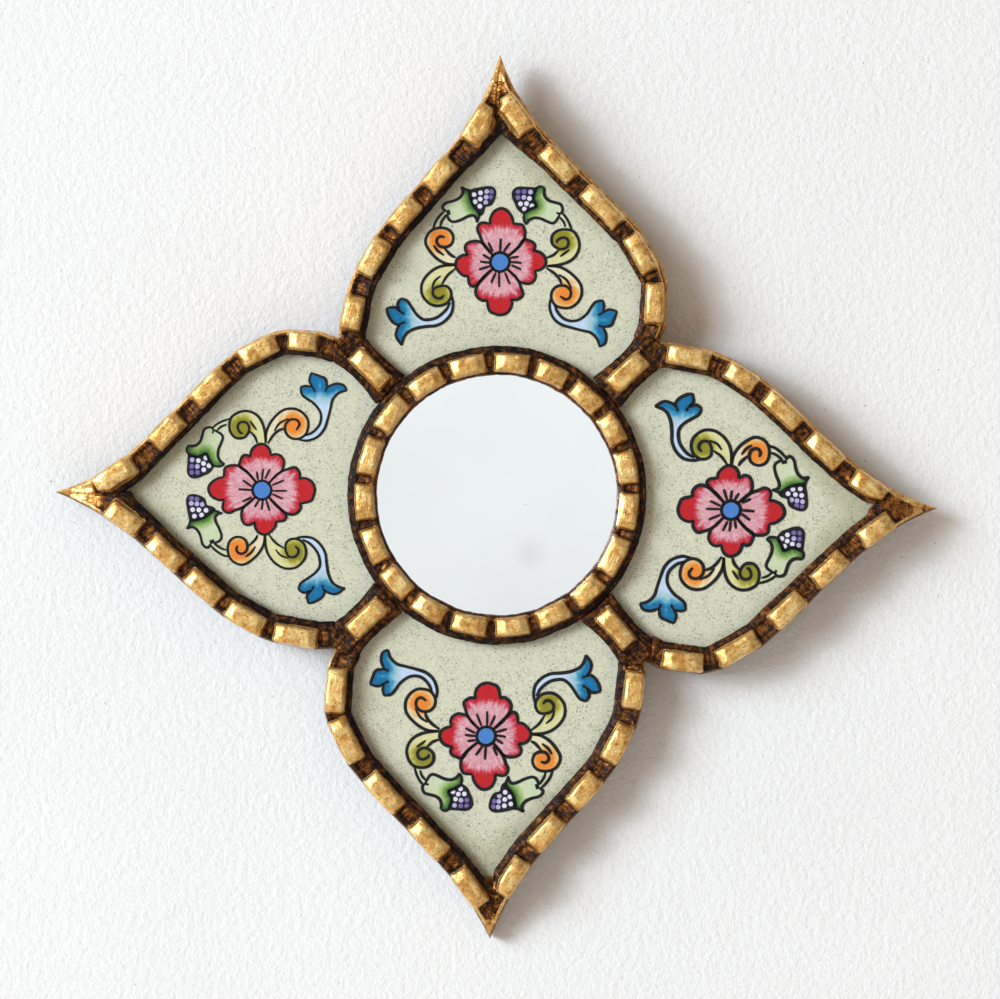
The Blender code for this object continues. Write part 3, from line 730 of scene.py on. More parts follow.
# %% Draw the bellflowers
# Each bell: the upper side of its stem out to a petal's point, the lower side, and its three petals
BELLS = {
    "left": (
        ((-45.8, -37.5), (-49.8, -44.5), (-56.8, -50.5), (-63.8, -53), (-70.8, -53), (-76.8, -48.5),
         (-81.8, -41.5), (-85.8, -36), (-91.3, -33.5)),
        ((-44.3, -31.5), (-43.3, -39.5), (-44.8, -47.5), (-50.8, -54.5), (-58.8, -58.5),
         (-67.8, -59.5), (-76.8, -61), (-84.8, -64.5), (-88.8, -69.5), (-90.8, -76.5)),
        (
            ((-91.3, -33.5), (-94.3, -38.5), (-93.3, -43.5), (-92.3, -46)),
            ((-92.3, -46), (-96.8, -42), (-104.8, -43)),
            ((-104.8, -43), (-102.8, -49.5), (-98.8, -55.5), (-93.8, -58), (-91.3, -56.5)),
            ((-91.3, -56.5), (-94.8, -61.5), (-95.8, -68.5), (-90.8, -76.5)),
        ),
    ),
    "right": (
        ((50.4, -39.5), (53.4, -46.5), (59.4, -52.5), (66.4, -54.5), (73.4, -53), (80.4, -47.5),
         (84.4, -41.5), (88.4, -37), (94.9, -35.5)),
        ((46.4, -34.5), (45.9, -42.5), (49.4, -51.5), (56.4, -57.5), (65.4, -60.5), (75.4, -63),
         (83.4, -65), (89.4, -70.5), (91.9, -78)),
        (
            ((94.9, -35.5), (95.9, -41), (94.9, -47)),
            ((94.9, -47), (100.4, -44), (107.9, -45.5)),
            ((107.9, -45.5), (105.4, -52.5), (102.4, -58.5), (95, -60)),
            ((95, -60), (97.9, -67.5), (96.9, -74.5), (91.9, -78)),
        ),
    ),
}
print("bellflowers:", ", ".join(BELLS))

# %% [markdown]
# A bud hangs on a stem of two lines. Its leafy cup opens towards the middle of the pane and holds a
# dark cluster, with grapes dotted on it.

# %% Draw the grape buds
# Each bud: its two stem pulls, upper side, mouth, lower side, cluster and grapes
BUDS = {
    "left": (
        (((-61.8, 30), (-59.8, 36.5), (-55.8, 42.5), (-51.3, 47)),
         ((-55.3, 32.5), (-53.8, 37.5), (-50.3, 42.5), (-48.8, 43.5))),
        ((-49.8, 47), (-52.8, 49.5), (-52.3, 52.5), (-48.8, 55), (-42.8, 56.5), (-37.8, 59),
         (-34.8, 62.5), (-34.3, 66), (-35.8, 69.5)),
        ((-35.8, 69.5), (-31.5, 67), (-27.8, 65.5), (-26.8, 57.5), (-24.3, 51.5), (-18.8, 46),
         (-21.3, 36.5)),
        ((-21.3, 36.5), (-21.8, 40), (-24.8, 43), (-29.8, 42), (-35.8, 39), (-42.8, 37),
         (-46.8, 39), (-48.8, 43.5)),
        ((-28.8, 65.5), (-18.8, 68), (-8.8, 69), (-4.8, 65.5), (-5.8, 58.5), (-8.8, 53.5),
         (-14.3, 51.5), (-16.3, 45.5), (-18.8, 44.5), (-24.3, 51.5), (-26.8, 57.5)),
        (("white", (-24, 62.3)), ("white", (-18, 64)), ("lilac", (-12.3, 65.2)),
         ("purple", (-7.6, 65)), ("white", (-23, 55.6)), ("white", (-18.3, 58.2)),
         ("lilac", (-12.8, 60)), ("purple", (-8.3, 60)), ("white", (-18.6, 51.5)),
         ("lilac", (-13.2, 55))),
    ),
    "right": (
        (((65.9, 29.5), (63.4, 36.5), (59.9, 42.5), (56.9, 45.5)),
         ((60.4, 32.5), (58.4, 37.5), (54.9, 41.5))),
        ((55.4, 44.5), (57.6, 47), (57.4, 50.5), (55.4, 53.5), (50.4, 55), (45.4, 56.5),
         (41.9, 59.5), (40.4, 63.5), (40.9, 68.5)),
        ((40.9, 68.5), (36.4, 69.5), (32.4, 66.5), (30.9, 58.5), (33.4, 52), (28.4, 49),
         (22.9, 45.5), (21.9, 39), (23.9, 34.5)),
        ((23.9, 34.5), (26.9, 38.5), (31.4, 40.5), (37.4, 40), (43.4, 37.5), (47.9, 36),
         (51.4, 37.5), (55.4, 44.5)),
        ((33.4, 67.5), (24.4, 68), (16.4, 68), (12.4, 64.5), (12.4, 59.5), (14.9, 53.5),
         (17.4, 48.5), (22.4, 45.5), (28.4, 48.5), (33.9, 51.5), (30.4, 58.5)),
        (("purple", (16.6, 64.9)), ("purple", (22.2, 65)), ("lilac", (28, 64.5)),
         ("purple", (16.6, 59.4)), ("lilac", (22, 59.6)), ("white", (27.2, 58.6)),
         ("white", (19, 53.6)), ("white", (24.6, 53.8)), ("white", (22.6, 48.8)),
         ("white", (29.6, 51.6))),
    ),
}
GRAPE_RADIUS = 2.2
print("grapes:", sum(len(bud[-1]) for bud in BUDS.values()))

# %% [markdown]
# ## From drawing to film
# A pull of the brush becomes a smooth run of points: every stretch is a Bézier curve whose handles
# follow the neighbouring points, which is how Blender's automatic handles work. A closed run is
# filled with a fine Delaunay mesh, so that colours can change across it from point to point.

# %% Smooth runs and filled patches
RUN_STEPS = 6
EDGE_ROOM = 0.45  # share of their spacing that inner points keep from the outline
MERGE = 1e-7  # points closer than this are one


def smooth_run(points):
    drawn = [Vector(point) for point in points]
    padded = [2 * drawn[0] - drawn[1]] + drawn + [2 * drawn[-1] - drawn[-2]]
    run = []
    for before, here, there, after in zip(padded, padded[1:], padded[2:], padded[3:]):
        handles = (here + (there - before) / 6, there - (after - here) / 6)
        run += interpolate_bezier(here, *handles, there, RUN_STEPS + 1)[:-1]
    return run + [drawn[-1]]


def joined(*runs):
    """One closed outline from runs that follow each other."""
    return [point for run in runs for point in run[:-1]]


def inside(outline, point):
    """Whether a point lies within a closed outline: count the crossings to its right."""
    odd = False
    for here, there in zip(outline, outline[1:] + outline[:1]):
        if (here.y > point.y) != (there.y > point.y):
            cross = here.x + (point.y - here.y) * (there.x - here.x) / (there.y - here.y)
            odd ^= cross > point.x
    return odd


def distance_to(run, point):
    """Shortest distance from a point to a run of points."""
    return min((point - other).length for other in run)


def patch_mesh(outline, spacing):
    """Triangles over a closed outline, with inner points on a grid."""
    low = [min(point[axis] for point in outline) for axis in (0, 1)]
    high = [max(point[axis] for point in outline) for axis in (0, 1)]
    points = list(outline)
    for row in range(1, int((high[1] - low[1]) / spacing) + 1):
        shift = 0.5 * (row % 2)
        for column in range(int((high[0] - low[0]) / spacing) + 1):
            point = Vector((low[0] + (column + shift) * spacing, low[1] + row * spacing))
            if inside(outline, point) and distance_to(outline, point) > EDGE_ROOM * spacing:
                points.append(point)
    made = delaunay_2d_cdt(points, [], [list(range(len(outline)))], 1, MERGE)
    return made[0], [list(triangle) for triangle in made[2]]


print("a petal's crown has", len(smooth_run(FLOWER_PETALS[0][1])), "points")

# %% [markdown]
# The colours fade inside each shape. A petal is red over its crown and along its lobes and pale
# towards its foot, a scroll deepens towards its eye, a bell is deep blue at its lips. Each fill
# therefore has a small rule that gives the colour from the distance to one of its runs. The brush
# leaves streaks, so the distance is shaken by noise before a colour is picked.

# %% Colour rules
RED = (0.54, 0.011, 0.018)
ROSE = (0.62, 0.1, 0.16)
PINK = (0.65, 0.22, 0.28)
BLUSH = (0.77, 0.5, 0.53)
DISC_BLUE = (0.07, 0.23, 0.61)
ORANGE = (0.85, 0.26, 0.03)
AMBER = (0.82, 0.45, 0.12)
CREAM = (0.81, 0.73, 0.5)
OLIVE = (0.28, 0.26, 0.02)
MOSS = (0.5, 0.47, 0.07)
LEMON = (0.72, 0.7, 0.36)
BELL_DEEP = (0.0, 0.165, 0.38)
BELL_SKY = (0.07, 0.37, 0.55)
BELL_MIST = (0.36, 0.58, 0.66)
BELL_PALE = (0.56, 0.71, 0.9)
LEAF_DEEP = (0.04, 0.17, 0.03)
LEAF = (0.26, 0.42, 0.1)
LEAF_PALE = (0.62, 0.71, 0.47)
GRAPE_INK = (0.012, 0.009, 0.03)
GRAPES = {"white": (0.78, 0.76, 0.87), "lilac": (0.5, 0.46, 0.72), "purple": (0.19, 0.14, 0.4)}
# In steps of the drawing's grid: the depth that counts as one in the fade of each shape, and the
# depth that the line between a petal's notches and the outline of its lobes already have
PETAL_DEPTH, SCROLL_DEPTH, BELL_DEPTH, BUD_DEPTH = 30, 22, 22, 18
NOTCH_DEPTH = 7
LOBE_DEPTH = 4
STREAK_RADIUS = 20  # distance from the middle at which a streak has its true width
DAPPLE = 2.5  # size of the soft patches in bells and buds


def fade(share, *stops):
    """Colour at a share along stops of (place, colour)."""
    for (low, first), (high, second) in zip(stops, stops[1:]):
        if share <= high:
            part = min(max((share - low) / (high - low), 0), 1)
            return tuple(a + (b - a) * part for a, b in zip(first, second))
    return stops[-1][1]


def streak(point, along=16, across=0.9):
    """Brush streaks that run away from the middle of the flower."""
    turn = math.atan2(point.y, point.x)
    return noise.noise(Vector((turn * STREAK_RADIUS / across, point.length / along, along)))


def dapple(point, size, layer=0):
    """Soft noise of a size on the drawing."""
    return noise.noise(Vector((*point, layer)) / size)


def petal_colour(crown, lobes, point):
    middle = (crown[0] + crown[-1]) / 2
    below = (middle - point).dot(middle.normalized())
    depth = min(below + NOTCH_DEPTH, distance_to(lobes, point) + LOBE_DEPTH)
    share = (depth + 4 * streak(point) + 3.5 * streak(point, 12, 0.4)) / PETAL_DEPTH
    pale = 0.5 + 0.9 * streak(point, 9, 0.35) + 0.4 * streak(point, 14, 1.2)
    inner = fade(pale, (0.2, PINK), (0.8, BLUSH))
    return fade(share, (0.26, RED), (0.36, ROSE), (0.46, inner), (1.0, inner), (1.5, PINK))


def scroll_colour(eye, deep, middle, pale, point):
    share = ((point - eye).length + 3 * streak(point)) / SCROLL_DEPTH
    return fade(share, (0.36, deep), (0.48, middle), (0.64, pale))


def bell_colour(mouth, point):
    share = (distance_to(mouth, point) + 2.5 * dapple(point, DAPPLE)) / BELL_DEPTH
    return fade(share, (0.22, BELL_DEEP), (0.36, BELL_SKY), (0.5, BELL_MIST), (0.85, BELL_PALE))


def bud_colour(mouth, point):
    share = (distance_to(mouth, point) + 1.5 * dapple(point, DAPPLE)) / BUD_DEPTH
    return fade(share, (0.14, LEAF_DEEP), (0.32, LEAF), (0.6, LEAF_PALE))


halfway = fade(0.5, (0, RED), (1, BLUSH))
print("halfway from red to blush:", [round(part, 2) for part in halfway])

# %% [markdown]
# ## Laying the films
# A layer of paint is a stack of patches in one mesh. Each patch is a closed sheet: a front, a back
# a few hundredths of a millimetre behind it, and a rim. Its colour is stored on its points, in a
# value called paint, which the material reads.

# %% Build sheets and strokes
FILM = 0.04 * MM
COLOUR_LEVEL = 7.17 * MM
LINE_LEVEL = 7.25 * MM
GROUND_LEVEL = 7.09 * MM
STROKE_END = 4  # most points over which a stroke grows to its full width
STROKE_SHAKE = 0.16  # share of its width by which a stroke swells and thins
STROKE_WAVE = 6  # millimetres over which it does so
STROKE_LAYER = 3  # of the noise


class Film:
    """Paint layer in the making: patches and strokes at one height above the wall."""

    def __init__(self, level):
        self.shape = bmesh.new()
        self.paint = self.shape.verts.layers.float_color.new("paint")
        self.level = level
        self.place = lambda point: point * MM

    def sheet(self, points, triangles, colours):
        fronts, backs = [], []
        for point, colour in zip(points, colours):
            right, up = self.place(point)
            for row, height in ((fronts, self.level), (backs, self.level - FILM)):
                vertex = self.shape.verts.new((right, -height, up))
                vertex[self.paint] = (*colour, 1)
                row.append(vertex)
        sides = set()
        for triangle in triangles:
            self.shape.faces.new([fronts[corner] for corner in triangle])
            self.shape.faces.new([backs[corner] for corner in triangle[::-1]])
            sides |= set(zip(triangle, triangle[1:] + triangle[:1]))
        for here, there in sides:
            if (there, here) not in sides:
                self.shape.faces.new((fronts[there], fronts[here], backs[here], backs[there]))

    def patch(self, outline, spacing, rule):
        points, triangles = patch_mesh(outline, spacing)
        self.sheet(points, triangles, [rule(point) for point in points])

    def stroke(self, run, width, colour, taper):
        """Ribbon along a run, thinner at its ends."""
        points, count = [], len(run)
        for number, point in enumerate(run):
            ahead = run[min(number + 1, count - 1)] - run[max(number - 1, 0)]
            across = Vector((-ahead.y, ahead.x)).normalized()
            end = min(number, count - 1 - number) / max(1, min(STROKE_END, count // 3))
            half = width / 2 * (taper + (1 - taper) * min(1, end))
            half *= 1 + STROKE_SHAKE * dapple(point, STROKE_WAVE, STROKE_LAYER)
            points += [point + across * half, point - across * half]
        triangles = []
        for number in range(0, 2 * count - 2, 2):
            triangles += [[number, number + 1, number + 2], [number + 1, number + 3, number + 2]]
        self.sheet(points, triangles, [colour] * len(points))

    def dry(self, name, finish):
        """The painted film as a piece of the mirror."""
        bmesh.ops.recalc_face_normals(self.shape, faces=self.shape.faces)
        mesh = mesh_from(self.shape, name)
        mesh.materials.append(finish)
        piece = in_scene(name, mesh)
        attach(piece, "frame")
        return piece


print("films are", FILM / MM, "mm thick")

# %% [markdown]
# Two finishes serve all the films. Both take the colour that lies on the points and cloud it a
# little, as a brush does. The ground's finish also sprinkles it with dark flecks, fine and bold
# ones, which come in drifts because on the real glass they were spattered on.

# %% Paint finishes
GROUND = (0.71, 0.71, 0.545)
GROUND_SHADED = (0.57, 0.555, 0.39)
SPECK = (0.13, 0.13, 0.1)


def paint_finish(name, speckled):
    graph = new_finish(name)
    place = graph.coords()
    brush = graph.ramp(graph.grain(place, 700, 5, 0.6), (0.3, 0.86), (0.7, 1.0))
    colour = graph.mix(1.0, graph.attribute("paint", "Color"), brush, "MULTIPLY")
    if speckled:
        fine = graph.ramp(graph.cells(place, 2300)["Distance"], (0.2, 0.8), (0.44, 0.0))
        bold = graph.ramp(graph.cells(place, 950)["Distance"], (0.14, 0.9), (0.32, 0.0))
        drift = graph.ramp(graph.grain(place, 330, 4, 0.65), (0.36, 0.12), (0.62, 0.9))
        flecks = graph.times(graph.maths("MAXIMUM", fine, bold), drift)
        colour = graph.mix(flecks, colour, SPECK)
    matt = {"Roughness": 0.5, "Specular_IOR_Level": 0.1}
    return graph.surface(graph.shader("Principled", Base_Color=colour, **matt))


colour_paint = paint_finish("brushed colours", False)
ground_paint = paint_finish("speckled ground", True)
print("paints:", colour_paint.name, "and", ground_paint.name)

# %% [markdown]
# ## Four panes, one pattern
# The pattern is turned a quarter for each petal, so the grape buds always point to the tip. The
# painter placed it by eye, and each flower sits a little differently, so every pane has its
# own middle and its own small turn.

# %% Paint each pane
LINE = (0.007, 0.007, 0.008)
THIN_LINE = 0.9  # share of the line width that the stamens and accents have
TICKS = (0.1, 0.5, 0.9)  # where small ticks stand on the base of a bud, between its two sides
TICK_LENGTH = 3.5
TICK_LINE = 0.8
PATCH_STEP = 0.5  # millimetres between the points of a fill
FINE_STEP = 0.33
FOLD = 0.3  # how far the fold between two petals of a bell reaches towards its throat
HAND = (9, 0.15)  # size and depth in millimetres of the waver in the painter's hand
HAND_LAYERS = 50  # between the noise that wavers sideways and the one that wavers up and down
EYE_POINTS = 5  # the last points of a scroll's pull, which wind round its eye
DISC_POINTS = 40
GRAPE_POINTS = 12
# Middle of each flower and its line width in millimetres, and clockwise turns of flower and
# scrolls in degrees
PANES = {
    "top": ((0.85, 66.1), 0.86, 0, 0),
    "right": ((66.4, -4.3), 1.0, 91, 94),
    "bottom": ((-3.1, -68.4), 0.94, 181, 181),
    "left": ((-66.7, 1.4), 0.76, 270, 270),
}


def placer(middle, turn):
    """Function that moves a point of the drawing, in millimetres, onto its pane."""
    cos, sin = math.cos(math.radians(turn)), math.sin(math.radians(turn))
    size, depth = HAND

    def place(point):
        waver = [noise.noise((*point / size, layer)) for layer in (turn, turn + HAND_LAYERS)]
        shaken = point + depth * Vector(waver)
        right = middle[0] + shaken.x * cos + shaken.y * sin
        up = middle[1] - shaken.x * sin + shaken.y * cos
        return right * MM, up * MM

    return place


def circle(middle, radius, count):
    turns = np.linspace(0, math.tau, count + 1)
    return [Vector(middle) + radius * Vector((math.cos(turn), math.sin(turn))) for turn in turns]


class Brush:
    """Paints shapes that are drawn on a grid onto the two films of a pane."""

    def __init__(self, colours, lines, width, grid, place):
        self.colours, self.lines = colours, lines
        self.width, self.grid = width, grid
        colours.place = lines.place = place

    def scaled(self, points):
        return [Vector(point) * self.grid / MM for point in points]

    def fill(self, outline, rule, step=PATCH_STEP):
        """Patch of colour, by a rule that is asked in steps of the grid."""
        self.colours.patch(self.scaled(outline), step, lambda point: rule(point * MM / self.grid))

    def dot(self, outline, colour):
        """Patch of one colour on the film of the lines."""
        self.lines.patch(self.scaled(outline), PATCH_STEP, lambda point: colour)

    def line(self, run, taper, share=1):
        """Black line that keeps a part of its width, the taper, at its ends."""
        self.lines.stroke(self.scaled(run), share * self.width, LINE, taper)


def paint_flower(brush):
    for petal in FLOWER_PETALS:
        left, crown, right = runs = [smooth_run(run) for run in petal]
        lobes = left[len(left) // 2 :] + right[: len(right) // 2]
        brush.fill(joined(*runs), lambda point: petal_colour(crown, lobes, point), FINE_STEP)
        for run in runs:
            brush.line(run, 0.8)
    for stamen in STAMENS:
        brush.line(smooth_run(stamen), 0.75, THIN_LINE)
    disc = circle((0, 0), DISC_RADIUS, DISC_POINTS)
    brush.dot(disc[:-1], DISC_BLUE)
    brush.line(disc, 1)


def paint_scrolls(brush):
    for name, (pull, turn_back, inner, accent) in SCROLLS.items():
        green = name in ("tip_right", "base_left")
        tones = (OLIVE, MOSS, LEMON) if green else (ORANGE, AMBER, CREAM)
        eye = sum((Vector(point) for point in pull[-EYE_POINTS:]), Vector((0, 0))) / EYE_POINTS
        outline = smooth_run(pull)[: turn_back * RUN_STEPS] + smooth_run(inner)
        brush.fill(outline, lambda point: scroll_colour(eye, *tones, point))
        for run, share in ((pull, 1), (inner, 1), (accent, THIN_LINE)):
            brush.line(smooth_run(run), 0.6, share)


def paint_bells(brush):
    for upper, lower, petals in BELLS.values():
        upper_run, lower_run, *petal_runs = map(smooth_run, (upper, lower, *petals))
        mouth = [point for run in petal_runs for point in run]
        outline = joined(upper_run, *petal_runs, lower_run[::-1])
        brush.fill(outline, lambda point: bell_colour(mouth, point))
        for run in (upper_run, lower_run, *petal_runs):
            brush.line(run, 0.7)
        throat = (upper_run[len(upper_run) * 2 // 3] + lower_run[len(lower_run) * 2 // 3]) / 2
        for petal in (petals[0], petals[2]):
            notch = Vector(petal[-1])
            brush.line(smooth_run([notch, notch.lerp(throat, FOLD)]), 0.6, THIN_LINE)


def paint_buds(brush):
    for stems, upper, mouth, lower, cluster, grapes in BUDS.values():
        upper_run, mouth_run, lower_run = runs = [smooth_run(run) for run in (upper, mouth, lower)]
        brush.fill(joined(*runs), lambda point: bud_colour(mouth_run, point))
        for run, share in ((upper_run, 1), (lower_run, 1), (mouth_run, THIN_LINE)):
            brush.line(run, 0.7, share)
        foot, heart = Vector(upper[0]), (Vector(mouth[0]) + Vector(mouth[-1])) / 2
        for share in TICKS:
            start = foot.lerp(Vector(lower[-1]), share)
            brush.line([start, start + TICK_LENGTH * (heart - foot).normalized()], 0.9, TICK_LINE)
        stem_runs = [smooth_run(stem) for stem in stems]
        for run in stem_runs:
            brush.line(run, 0.7, THIN_LINE)
        brush.fill(stem_runs[0] + stem_runs[1][::-1], lambda point: LEAF_PALE)
        brush.fill(cluster, lambda point: GRAPE_INK)
        brush.line(smooth_run(cluster + cluster[:1]), 1, THIN_LINE)
        for tone, middle in grapes:
            brush.dot(circle(middle, GRAPE_RADIUS, GRAPE_POINTS)[:-1], GRAPES[tone])


for petal, (middle, width, flower_turn, scroll_turn) in PANES.items():
    films = Film(COLOUR_LEVEL), Film(LINE_LEVEL)
    paint_flower(Brush(*films, width, FLOWER_GRID, placer(middle, flower_turn)))
    for paint in (paint_scrolls, paint_bells, paint_buds):
        paint(Brush(*films, width, SCROLL_GRID, placer(middle, scroll_turn)))
    painted = films[0].dry(petal + "_painted_colours", colour_paint)
    lined = films[1].dry(petal + "_painted_lines", colour_paint)
    faces = [len(piece.data.polygons) for piece in (painted, lined)]
    print(petal, "pane:", faces[0], "faces of colour,", faces[1], "of line")

# %% [markdown]
# ## Speckled ground
# The ground is the last coat, brushed over everything on the back of the pane. It is pale
# grey-green and flecked all over. Towards the mouldings and the tip it is painted darker, as
# painted shade where the raised mouldings shade the glass. Its outline is read from the pane's own
# back face, so the coat ends exactly where the glass does.

# %% Brush the ground on
GROUND_STEP = 2.0
BACK_FACING = 0.9  # a face belongs to the back if its normal points there this much
SHADE_REACH = 9.0  # millimetres from the pane's edge over which the painted shade fades
SHADE_DRIFT, SHADE_SIZE = 0.25, 7  # how unevenly it does so, in patches of a size
UNSHADED_BASE, SHADED_TIP = 62, 100  # millimetres from the middle of the star
BASE_SHARE = 0.7  # how much less painted shade the ground has at the base of a petal than at its edge
TIP_SHARE = 1.2  # and how much more painted shade the tip has


def pane_back(name):
    """Outline of a pane's back face, in order."""
    shape = welded(name)
    front = [face for face in shape.faces if face.normal.y < BACK_FACING]
    bmesh.ops.delete(shape, geom=front, context="FACES")
    edge = next(edge for edge in shape.edges if edge.is_boundary)
    start = vertex = edge.verts[0]
    outline = []
    while True:
        outline.append(flat(vertex.co) / MM)
        vertex = edge.other_vert(vertex)
        if vertex == start:
            break
        edge = next(other for other in vertex.link_edges if other.is_boundary and other != edge)
    shape.free()
    return outline


# Painted shade: the ground is darker near the pane's rim and towards the tip
def ground_colour(rim, point):
    share = distance_to(rim, point) / SHADE_REACH + SHADE_DRIFT * dapple(point, SHADE_SIZE)
    tipward = min(max((point.length - UNSHADED_BASE) / (SHADED_TIP - UNSHADED_BASE), 0), 1)
    return fade(share + BASE_SHARE - TIP_SHARE * tipward, (0.3, GROUND_SHADED), (0.9, GROUND))


for petal in PANES:
    rim = filled_in(pane_back(petal + "_painted_pane"), GROUND_STEP)
    ground = Film(GROUND_LEVEL)
    ground.patch(rim, GROUND_STEP, lambda point: ground_colour(rim, point))
    laid = ground.dry(petal + "_painted_ground", ground_paint)
    print(petal, "ground:", len(laid.data.polygons), "faces")

# %% [markdown]
# ## Glass and silver
# The glass, the board and the hanger already have their true shape as CAD pieces, so they keep it
# and only change their finish. The panes are clear sheet glass: mostly see-through, with a gloss
# that grows at a slant. The looking glass is polished metal with a few specks where the silver has
# gone and a few dull clouds. Painted into its colour are a reflection that grows darker downwards
# and one darker reflected spot.

# %% Finishes for the glass
SILVER = (0.95, 0.985, 0.995)
SILVER_DULL_AND_DIM = (0.82, 0.84, 0.845)
SILVER_LOST = (0.3, 0.29, 0.27)
REFLECTED_SPOT = (9.4 * MM, -9.3 * MM, -17 * MM)  # middle of a darker painted reflection spot
REFLECTED_SPOT_REACH = 10 * MM
LOW_REFLECTION_DIM = 9  # how much the painted reflection darkens the silver for each metre down
SILVER_HAZE = 0.06
GLASS_HAZE = 0.12  # roughness where the panes are most smudged
GLASS_IOR = 1.27


def glass_finish():
    graph = new_finish("clear sheet glass")
    clear = graph.shader("Transparent", Color=(1, 1, 1))
    smudge = graph.times(graph.grain(graph.coords(), 60, 3), GLASS_HAZE)
    gloss = graph.shader("Glossy", Color=(1, 1, 1), Roughness=smudge)
    outside = graph.minus(1.0, graph.add("NewGeometry").outputs["Backfacing"])
    fresnel = graph.add("Fresnel", IOR=GLASS_IOR).outputs[0]
    return graph.surface(graph.blend(graph.times(fresnel, outside), clear, gloss))


def mirror_finish():
    graph = new_finish("silvered glass")
    place = graph.coords()
    lost = graph.ramp(graph.cells(place, 110)["Distance"], (0.02, 1.0), (0.035, 0.0))
    few = graph.ramp(graph.grain(place, 45, 1), (0.52, 0.0), (0.6, 1.0))
    # Painted reflection: a darker spot and a darkening downwards, mixed with dull clouds
    away = graph.times(graph.vectors("DISTANCE", place, REFLECTED_SPOT), 1 / REFLECTED_SPOT_REACH)
    reflected_spot = graph.ramp(away, (0.1, 0.95), (0.9, 0.0))
    lower = graph.times(graph.axes(place)[2], -LOW_REFLECTION_DIM)
    clouds = graph.ramp(graph.grain(place, 22, 3), (0.35, 0.45), (0.65, 0.1))
    dull = graph.maths("MAXIMUM", reflected_spot, graph.plus(lower, clouds))
    silver = graph.mix(dull, SILVER, SILVER_DULL_AND_DIM)
    colour = graph.mix(graph.times(lost, few), silver, SILVER_LOST)
    haze = graph.times(graph.grain(place, 30, 3), SILVER_HAZE)
    polished = {"Metallic": 1.0, "Roughness": haze}
    return graph.surface(graph.shader("Principled", Base_Color=colour, **polished))


def set_finish(name, finish):
    nodes[name].data.materials.clear()
    nodes[name].data.materials.append(finish)


glass = glass_finish()
for petal in PANES:
    set_finish(petal + "_painted_pane", glass)
set_finish("mirror_disc", mirror_finish())
print("glass on", len(PANES), "panes, silver on one disc")

# %% [markdown]
# ## Board
# The board shows gold round its edge and at the tips, where mottled copper lies between the gilded
# rims. The gold is brown with age down the sides, and darker still with painted shade wherever the
# edge looks down. The back was never meant to be seen: it is stained dark, with the grain running
# up and down, and the hanger's pocket is bare wood. The place and the slant of a point pick the
# finish.

# %% Board finish
STAIN = (0.05, 0.024, 0.012)
STAIN_LIGHT = (0.13, 0.065, 0.03)
BARE_WOOD = (0.42, 0.26, 0.13)
BARE_LIGHT = (0.58, 0.4, 0.22)
EDGE_BROWN = (0.07, 0.032, 0.012)
FIBRES = (900, 900, 45)  # fibres to the metre across, through and along the board
POCKET = ((-0.0136, 0.0136), (-0.0044, 0.0), (0.0489, 0.0892))  # its box, with a little room
BACK_STAIN = 0.4 * MM  # how far the stain comes round from the back
FRONT_FACE = 6.95 * MM  # above this height lies the copper floor
FRONT_EDGE = 6.6 * MM  # the rounded front edge is gold
SIDE_BROWN = 4.5 * MM  # and from here back the sides are brown
SIDE_SHARE = 0.9  # how brown they are
UNDER_SHADE = 0.8  # how dark the painted shade makes the edge where it looks down
SHADE_SLANT = (-0.25, 0.1)  # slants over which that painted shade fades, from looking down to not looking down any more
THIN_TAR = -1.0  # the varnish on the copper floor is thinner than in any notch


def within(graph, value, low, high):
    over = graph.maths("GREATER_THAN", value, low)
    return graph.times(over, graph.maths("LESS_THAN", value, high))


def board_finish():
    graph = new_finish("gilded and stained board")
    place = graph.coords()
    across, through, up = graph.axes(place)
    wood = graph.grain(graph.add("Mapping", Vector=place, Scale=FIBRES).outputs[0], 1, 5, 0.6)
    stained = graph.ramp(wood, (0.35, STAIN), (0.7, STAIN_LIGHT))
    bare = graph.ramp(wood, (0.35, BARE_WOOD), (0.7, BARE_LIGHT))
    pocket = within(graph, across, *POCKET[0])
    for axis, sides in ((through, POCKET[1]), (up, POCKET[2])):
        pocket = graph.times(pocket, within(graph, axis, *sides))
    leaf = gold_leaf(graph, place, graph.grain(place, 1200, 5, 0.6))
    aged = graph.slope(through, -FRONT_EDGE, -SIDE_BROWN, 0, SIDE_SHARE)
    # Painted shade on the parts of the edge that look down
    slant = graph.axes(graph.coords("Normal"))[2]
    painted_under_shade = graph.slope(slant, *SHADE_SLANT, UNDER_SHADE, 0)
    edge = graph.mix(painted_under_shade, graph.mix(aged, leaf, EDGE_BROWN), EDGE_BROWN)
    floor, _ = dark_varnish(graph, place, THIN_TAR, graph.grain(place, 300))
    front = graph.mix(graph.maths("LESS_THAN", through, -FRONT_FACE), edge, floor)
    outside = graph.mix(graph.maths("GREATER_THAN", through, -BACK_STAIN), front, stained)
    shader = graph.shader(
        "Principled",
        Base_Color=graph.mix(pocket, outside, bare),
        Metallic=0.25,
        Roughness=0.58,
        Specular_IOR_Level=0.25,
        Normal=graph.bump(wood, 0.3, 0.1 * MM),
    )
    return graph.surface(shader)


set_finish("backing_board", board_finish())
print("board:", nodes["backing_board"].active_material.name)

# %% [markdown]
# ## Hanger
# The hanger is cheap steel that has gone dull in years behind the board. Noise makes it patchy,
# and where it rusts it stops being metal, so the rust has no shine.

# %% Hanger steel
STEEL = (0.4, 0.385, 0.36)
STEEL_DULL = (0.2, 0.185, 0.165)
RUST = (0.2, 0.085, 0.035)


